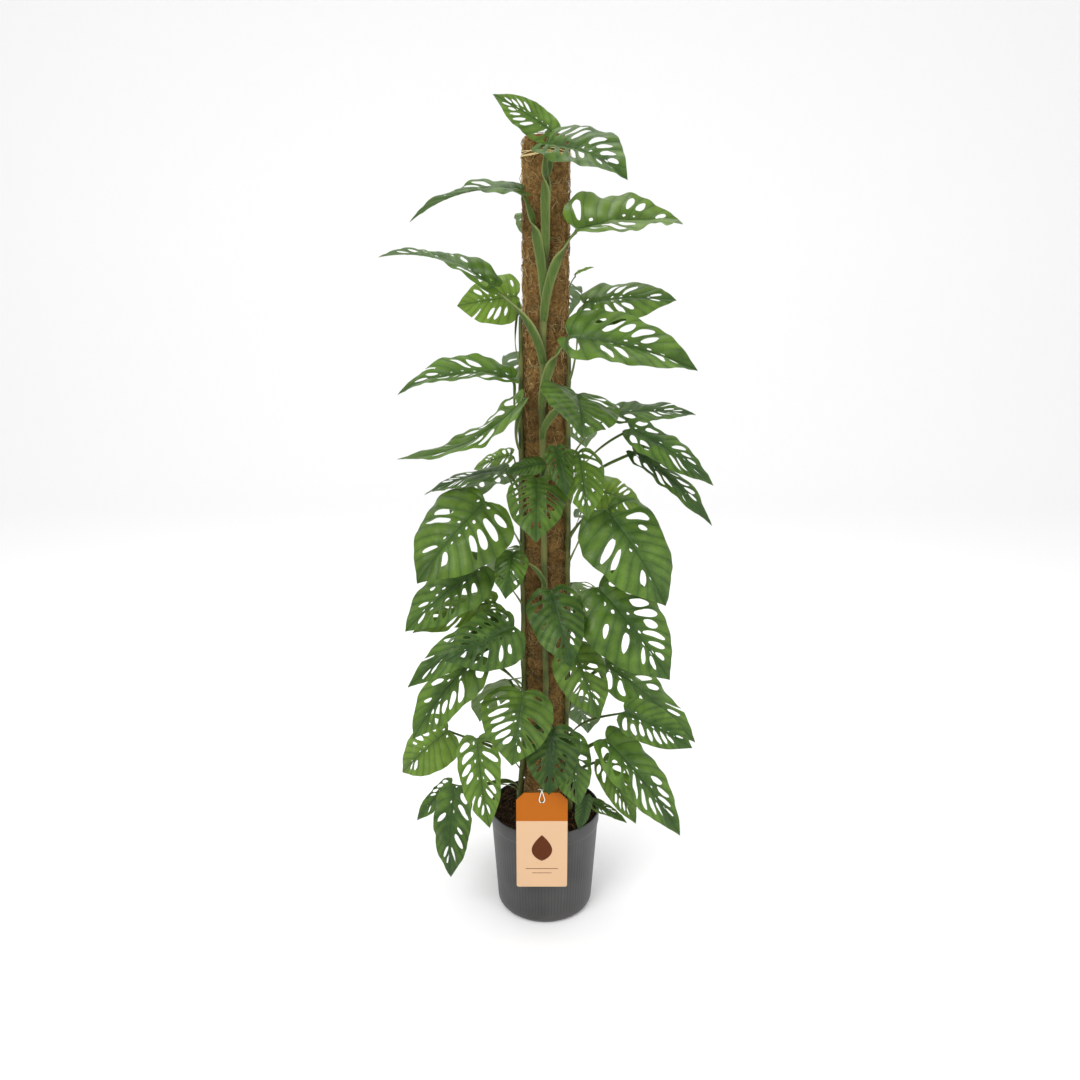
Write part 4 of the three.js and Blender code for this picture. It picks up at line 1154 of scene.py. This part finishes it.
def buildCrumbs(name, material):
    # angular bits: one low ball, copied with its own turn, size and dents
    form = crumbForms[name]
    rng = np.random.default_rng(form["seed"])
    bpy.ops.object.select_all(action="DESELECT")
    bpy.ops.mesh.primitive_ico_sphere_add(subdivisions=1, radius=1)
    ball = bpy.context.object
    shape = np.array([vertex.co[:] for vertex in ball.data.vertices])
    sides = [polygon.vertices[:] for polygon in ball.data.polygons]
    bpy.data.objects.remove(ball)
    bits = []
    while len(bits) < form["count"]:
        angle, radius = rng.uniform(0, 2 * math.pi), 100 * math.sqrt(rng.uniform(0.14, 1))
        x, y = radius * math.cos(angle), radius * math.sin(angle)
        size = form["smallest"] + (form["largest"] - form["smallest"]) * rng.uniform() ** 2.5
        if radius + size > soilForm["topFrom"] + 0.1:
            continue
        turn, _ = np.linalg.qr(rng.normal(size=(3, 3)))
        if np.linalg.det(turn) < 0:
            turn[:, 0] *= -1
        stretch = np.array([rng.uniform(0.9, 1.7), rng.uniform(0.6, 1.0), rng.uniform(0.7, 1.1)])
        stretch[2] *= form["flat"]
        bit = shape * (1 + rng.uniform(-0.25, 0.25, (len(shape), 1))) * stretch * size
        bit = bit @ turn.T + np.array([x, y, soilHeight(x, y) + size * 0.3])
        bits.append({"points": bit, "faces": sides, "shade": np.full(len(shape), rng.uniform())})
    points, faces = joinParts(bits)
    piece = makeMesh(name, points, faces, [material])
    shade = np.concatenate([bit["shade"] for bit in bits])
    giveMood(piece, perPoint(len(points), shade, shade, shade))
    piece.data.polygons.foreach_set("use_smooth", np.zeros(len(piece.data.polygons), dtype=bool))
    place(piece, "soil")


def paintSoil():
    paint = Paint("pottingSoil", roughness=0.95, shine=0.2)
    where = paint.place()
    grains = paint.speckle(where, 260, detail=4, roughness=0.7)
    damp = paint.speckle(where, 30, detail=3)
    color = paint.blend(grains.rise(0.35, 0.7), tint(26, 18, 9), tint(66, 48, 28))
    color = paint.blend(damp.rise(0.4, 0.7) * 0.4, color, tint(48, 30, 14))
    return paint.finish(color, None, grains, depth=0.003, strength=0.9)


def paintCrumb():
    paint = Paint("peatAndBark", roughness=0.9, shine=0.2)
    shade, _, _ = paint.mood()
    grains = paint.speckle(paint.place(), 400, detail=3)
    color = paint.ramp(
        shade * 0.8 + grains * 0.25,
        (0.0, tint(24, 16, 8)), (0.5, tint(52, 36, 20)), (0.85, tint(84, 60, 34)), (1.0, tint(128, 98, 62)))
    return paint.finish(color, None, grains, depth=0.001, strength=0.8)


# Pot

potForm = {
    "height": 203, "rimRadius": 106, "bandHeight": 27, "bandStep": 1.6, "baseRadius": 92.5, "footRound": 13,
    "hollow": 1.2, "wall": 2.4, "floor": 3, "lipRound": 1.1, "around": 288,
    "drains": 4, "drainRadius": 6, "drainCircle": 60,
    "flutes": 96, "fluteDepth": 0.45, "fluteFrom": 12, "fluteFadeLow": 12, "fluteFadeHigh": 6,
    "fluteTop": 101.9,  # radius just inside the wall's outside, below the band
}


def potProfile():
    # the section from under the pot's middle, up its outside and down its inside to the floor
    form = potForm
    height, rim, base = form["height"], form["rimRadius"], form["baseRadius"]
    bend, wall = form["footRound"], form["wall"]
    bandBottom = height - form["bandHeight"]
    wallTop = rim - form["bandStep"] - 1
    band = wallTop + form["bandStep"]
    foot = base - bend
    lip = form["lipRound"]
    profile = [(0.5, form["hollow"]), (30, form["hollow"]), (70, 1.0), (foot - 4, 0.6), (foot - 2, 0)]
    profile += arc(foot, bend, bend, -90, 0, 9)
    for level in np.linspace(20, bandBottom - 5, 12):
        profile.append((base + (wallTop - base) * (level - bend) / (bandBottom - bend), level))
    profile += [(wallTop - 0.03, bandBottom - 1), (wallTop + 0.25, bandBottom)]
    profile += [(band - 0.2, bandBottom + 1.2), (band, bandBottom + 2.4)]
    profile += arc(rim - lip, height - lip, lip, 0, 180, 9)
    profile += [(rim - wall, height - 3), (wallTop - wall + 0.6, bandBottom + 2)]
    profile += [(wallTop - wall, bandBottom - 2), (base - wall, bend)]
    profile += arc(foot, form["floor"] + bend - wall, bend - wall, 0, -90, 5)
    profile.append((0.5, form["floor"]))
    return profile


def spinPot(piece):
    pick(piece)
    bpy.ops.object.mode_set(mode="EDIT")
    bpy.ops.mesh.select_all(action="SELECT")
    bpy.ops.mesh.spin(steps=potForm["around"], angle=2 * math.pi, center=(0, 0, 0), axis=(0, 0, 1))
    bpy.ops.mesh.select_all(action="SELECT")
    bpy.ops.mesh.remove_doubles(threshold=1e-5)
    bpy.ops.mesh.select_all(action="DESELECT")
    bpy.ops.mesh.select_mode(type="EDGE")
    bpy.ops.mesh.select_non_manifold()
    bpy.ops.mesh.edge_face_add()
    bpy.ops.mesh.select_all(action="SELECT")
    bpy.ops.mesh.normals_make_consistent(inside=False)
    bpy.ops.object.mode_set(mode="OBJECT")


def flutePot(mesh):
    # presses shallow grooves into the outside below the rim band
    form = potForm
    foot = form["footRound"] * mm
    bandBottom = (form["height"] - form["bandHeight"]) * mm
    low, high = form["fluteFrom"] * mm, bandBottom - 2 * mm
    for vertex in mesh.vertices:
        x, y, z = vertex.co
        radius = math.hypot(x, y)
        share = (z - foot) / (bandBottom - foot)
        wall = (form["baseRadius"] + (form["fluteTop"] - form["baseRadius"]) * share) * mm
        if low < z < high and radius > wall - 0.6 * form["wall"] * mm:
            fade = min(1, (z - low) / form["fluteFadeLow"] / mm, (high - z) / form["fluteFadeHigh"] / mm)
            groove = max(0, math.cos(form["flutes"] * math.atan2(y, x))) ** 3
            scale = 1 - form["fluteDepth"] * mm * groove * fade / radius
            vertex.co.x, vertex.co.y = x * scale, y * scale


def drillDrains(piece):
    circleRadius = potForm["drainCircle"] * mm
    for angle in circle(potForm["drains"]):
        bpy.ops.object.select_all(action="DESELECT")
        bpy.ops.mesh.primitive_cylinder_add(
            vertices=32, radius=potForm["drainRadius"] * mm, depth=0.02,
            location=(circleRadius * math.cos(angle), circleRadius * math.sin(angle), 0))
        drill = bpy.context.object
        pick(piece)
        cut = piece.modifiers.new("drain", "BOOLEAN")
        cut.operation = "DIFFERENCE"
        cut.solver = "EXACT"
        cut.object = drill
        bpy.ops.object.modifier_apply(modifier=cut.name)
        bpy.data.objects.remove(drill)


def buildPot(material):
    profile = potProfile()
    mesh = bpy.data.meshes.new("pot_shell")
    edges = [(i, i + 1) for i in range(len(profile) - 1)]
    mesh.from_pydata([(radius * mm, 0, level * mm) for radius, level in profile], edges, [])
    piece = addPiece("pot_shell", mesh, [material])
    spinPot(piece)
    flutePot(mesh)
    drillDrains(piece)
    smoothByAngle(piece, 35)
    place(piece, "pot", "pot")


def paintPot():
    paint = Paint("potPlastic", roughness=0.42, shine=0.35)
    where = paint.place()
    x, y, z = paint.split(where)
    cloud = paint.speckle(where, 14, detail=3)
    grain = paint.speckle(where, 700, detail=2)
    scuffs = paint.streaks(where, (60, 60, 9), detail=5, roughness=0.7)
    # painted shade: the grooves of the flutes on the wall are darkened towards a deeper grey
    groove = (y.turnFrom(x) * potForm["flutes"]).cosine().rise(0.2, 1.0)
    onWall = z.rise(0.014, 0.024) * (1 - z.rise(0.165, 0.174))
    dust = 1 - z.rise(0.0, 0.03)
    color = paint.blend(cloud.rise(0.3, 0.7), tint(53, 54, 54), tint(67, 67, 66))
    color = paint.blend(groove * onWall * 0.4, color, tint(34, 35, 35))
    color = paint.blend(scuffs.rise(0.6, 0.8) * 0.22, color, tint(104, 103, 100))
    color = paint.blend(dust * 0.2, color, tint(100, 95, 88))
    return paint.finish(color, cloud * 0.12 + scuffs * 0.12 + 0.3, grain, depth=0.0002, strength=0.35)


# Hang tag and thread

tagForm = {
    "centre": -6, "width": 94, "bottom": 95, "top": 291, "front": -108.0, "thickness": 0.8,
    "chamfer": 15, "corner": 4, "hole": 272, "holeRadius": 3.2, "band": 233,
    "markBottom": 150, "markHeight": 54, "markReach": 19,
    "rules": [(30, 133, 1.2), (18, 124, 1.0)],  # half length, height and thickness
    "ink": 0.05, "inkGap": 0.01,
}

threadForm = {"radius": 0.85, "sides": 8, "stepsPerKnot": 12, "stemHeight": 262}


def tagOutline():
    form = tagForm
    half, corner, chamfer, top = form["width"] / 2, form["corner"], form["chamfer"], form["top"]
    level = form["bottom"] + corner
    upperRight = [
        (half, form["band"]), (half, top - chamfer - 1), (half - 0.4, top - chamfer + 0.6),
        (half - chamfer + 0.6, top - 0.4), (half - chamfer - 1, top)]
    upperLeft = [(-x, z) for x, z in upperRight[::-1]]
    right = arc(half - corner, level, corner, -90, 0, 8)
    left = arc(corner - half, level, corner, 180, 270, 8)
    return right + upperRight + upperLeft + left


def loopEdges(first, count):
    return [(first + i, first + (i + 1) % count) for i in range(count)]


def flatPlate(name, outlinePoints, holePoints, front, thickness, material):
    # a plate that stands in the XZ plane, cut from its outline, with a hole where points are given
    mesh = bpy.data.meshes.new(name)
    count = len(outlinePoints)
    edges = loopEdges(0, count) + loopEdges(count, len(holePoints))
    mesh.from_pydata([(x * mm, front * mm, z * mm) for x, z in outlinePoints + holePoints], edges, [])
    piece = addPiece(name, mesh, [material])
    pick(piece)
    bpy.ops.object.mode_set(mode="EDIT")
    bpy.ops.mesh.select_all(action="SELECT")
    bpy.ops.mesh.fill()
    bpy.ops.mesh.select_all(action="SELECT")
    bpy.ops.mesh.extrude_region_move(TRANSFORM_OT_translate={"value": (0, thickness * mm, 0)})
    bpy.ops.mesh.select_all(action="SELECT")
    bpy.ops.mesh.normals_make_consistent(inside=False)
    bpy.ops.object.mode_set(mode="OBJECT")
    return piece


def leafMark():
    # a plain leaf: pointed at the top, round below
    form = tagForm
    bottom, tall = form["markBottom"], form["markHeight"]
    right = []
    for t in np.linspace(0.04, 0.96, 15):
        reach = form["markReach"] * math.sin(math.pi * t ** 0.8) ** 0.9
        right.append((form["centre"] + reach, bottom + tall * t))
    left = [(2 * form["centre"] - x, z) for x, z in right[::-1]]
    return [(form["centre"], bottom)] + right + [(form["centre"], bottom + tall)] + left


def buildTag(cardMaterial, inkMaterial):
    form = tagForm
    x, radius = form["centre"], form["holeRadius"]
    hole = [(x + radius * math.cos(a), form["hole"] + radius * math.sin(a)) for a in circle(24)]
    around = [(x + across, z) for across, z in tagOutline()]
    card = flatPlate("tag_card", around, hole, form["front"], form["thickness"], cardMaterial)
    smoothByAngle(card, 30)
    place(card, "card", "tag")
    shapes = [leafMark()]
    for half, z, thick in form["rules"]:
        shapes.append([(x - half, z), (x + half, z), (x + half, z + thick), (x - half, z + thick)])
    for number, shape in enumerate(shapes):
        front = form["front"] - form["ink"] - form["inkGap"]
        ink = flatPlate("tag_print_%d" % number, shape, [], front, form["ink"], inkMaterial)
        place(ink, "card")


def paintCard():
    paint = Paint("printedCard", roughness=0.5, shine=0.15)
    where = paint.place()
    _, _, z = paint.split(where)
    pulp = paint.speckle(where, 900, detail=3)
    cream = paint.blend(pulp, tint(202, 165, 129), tint(210, 176, 142))
    orange = paint.blend(pulp, tint(166, 88, 8), tint(174, 95, 13))
    band = (z - tagForm["band"] * mm).rise(-0.0002, 0.0002)
    return paint.finish(paint.blend(band, cream, orange), pulp * 0.1 + 0.45, pulp, depth=0.0001, strength=0.3)


def paintInk():
    paint = Paint("brownInk", roughness=0.5, shine=0.15)
    worn = paint.speckle(paint.place(), 500, detail=4, roughness=0.7)
    return paint.finish(paint.blend(worn.rise(0.62, 0.72) * 0.6, tint(84, 38, 8), tint(190, 146, 98)))


def threadPath():
    # knots of the line: out of the hole, over the card's top, round the front stem and back
    x, hole, top = tagForm["centre"], tagForm["hole"], tagForm["top"]
    front = tagForm["front"]
    back = front + tagForm["thickness"]
    stemX, stemY, stemZ = stemPoint(vines[0], float(threadForm["stemHeight"]))
    half = [
        (1.4, front + 0.4, hole - 1.2), (3.4, front - 1.3, hole + 0.8), (5.0, front - 1.3, hole + 5.5),
        (3.2, front - 1.3, hole + 13), (0.95, front - 0.9, top + 2), (0.9, back + 5, top + 2),
        (0.95, back + 16, top - 4)]
    ring = [(8, -22, 16), (9, 0, 2), (0, 9.5, -1), (-9, 0, 2), (-8, -22, 16)]
    right = [(x + across, y, z) for across, y, z in half]
    left = [(x - across, y, z) for across, y, z in half[::-1]]
    away = [(stemX + across, stemY + deep, stemZ + level) for across, deep, level in ring]
    behind = [(x - 4.6, back + 1.6, hole - 4), (x, back + 2.4, hole - 7), (x + 4.6, back + 1.6, hole - 4)]
    knots = np.array(right + away + left + behind)
    path = []
    for i in range(len(knots)):
        around = [knots[(i + k) % len(knots)] for k in (-1, 0, 1, 2)]
        for f in np.linspace(0, 1, threadForm["stepsPerKnot"], endpoint=False):
            path.append(curveBetween(*around, f))
    return np.array(path)


def buildThread(material):
    piece = buildLoop("tag_thread", threadPath(), threadForm["radius"], threadForm["sides"], material)
    place(piece, "thread", "tag_string")


def paintThread():
    paint = Paint("whiteThread", roughness=0.8, shine=0.2)
    return paintStrands(paint, (1800, 1800, 900), tint(226, 216, 196), tint(250, 247, 238), depth=0.0003)


def buildFloor():
    # a sheet that runs flat under the pot and sweeps up behind it
    flat, bend, wide = studio["floorBack"], studio["sweepRadius"], studio["floorHalfWidth"]
    curve = [(studio["floorFront"], 0.0), (flat, 0.0)]
    for turn in np.linspace(0.1, math.pi / 2, 14):
        curve.append((flat + bend * math.sin(turn), bend - bend * math.cos(turn)))
    curve.append((flat + bend, studio["sweepTop"]))
    points = [(x / mm, y / mm, z / mm) for y, z in curve for x in (-wide, wide)]
    faces = [(2 * i, 2 * i + 1, 2 * i + 3, 2 * i + 2) for i in range(len(curve) - 1)]
    paint = Paint("paperSweep", roughness=0.9, shine=0.1)
    tone = studio["floorTone"]
    paint.shader.inputs["Base Color"].default_value = (tone, tone, tone, 1)
    sheet = makeMesh("floor_sweep", points, faces, [paint.material])


makeStudio()
buildFloor()
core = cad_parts["pole_core"].data
core.materials.clear()
core.materials.append(paintCore())
upper = paintLeaf("leafUpper")
under = paintLeaf("leafUnder")
skin = paintShoot()
number = 0
for vine in vines:
    buildLeaves(vine, number, upper, under)
    buildShoot(vine, number, skin)
    number += len(vine["leaves"])
print("leaves made", number)
buildCoir(paintCoir())
fibre = paintFibre()
middle = (pole["bottom"] + pole["top"]) / 2 + coirForm["piecesMeet"]
buildFibres("coir_fibres_low", coirForm["fibresFrom"], middle, coirForm["seed"], fibre)
buildFibres("coir_fibres_high", middle, pole["top"] - coirForm["fibresEnd"], coirForm["seed"] + 1, fibre)
buildTwine(paintTwine())
print("pole made")
buildSoil(paintSoil())
crumb = paintCrumb()
for name in crumbForms:
    buildCrumbs(name, crumb)
buildPot(paintPot())
buildTag(paintCard(), paintInk())
buildThread(paintThread())
print("pot, soil and tag made")
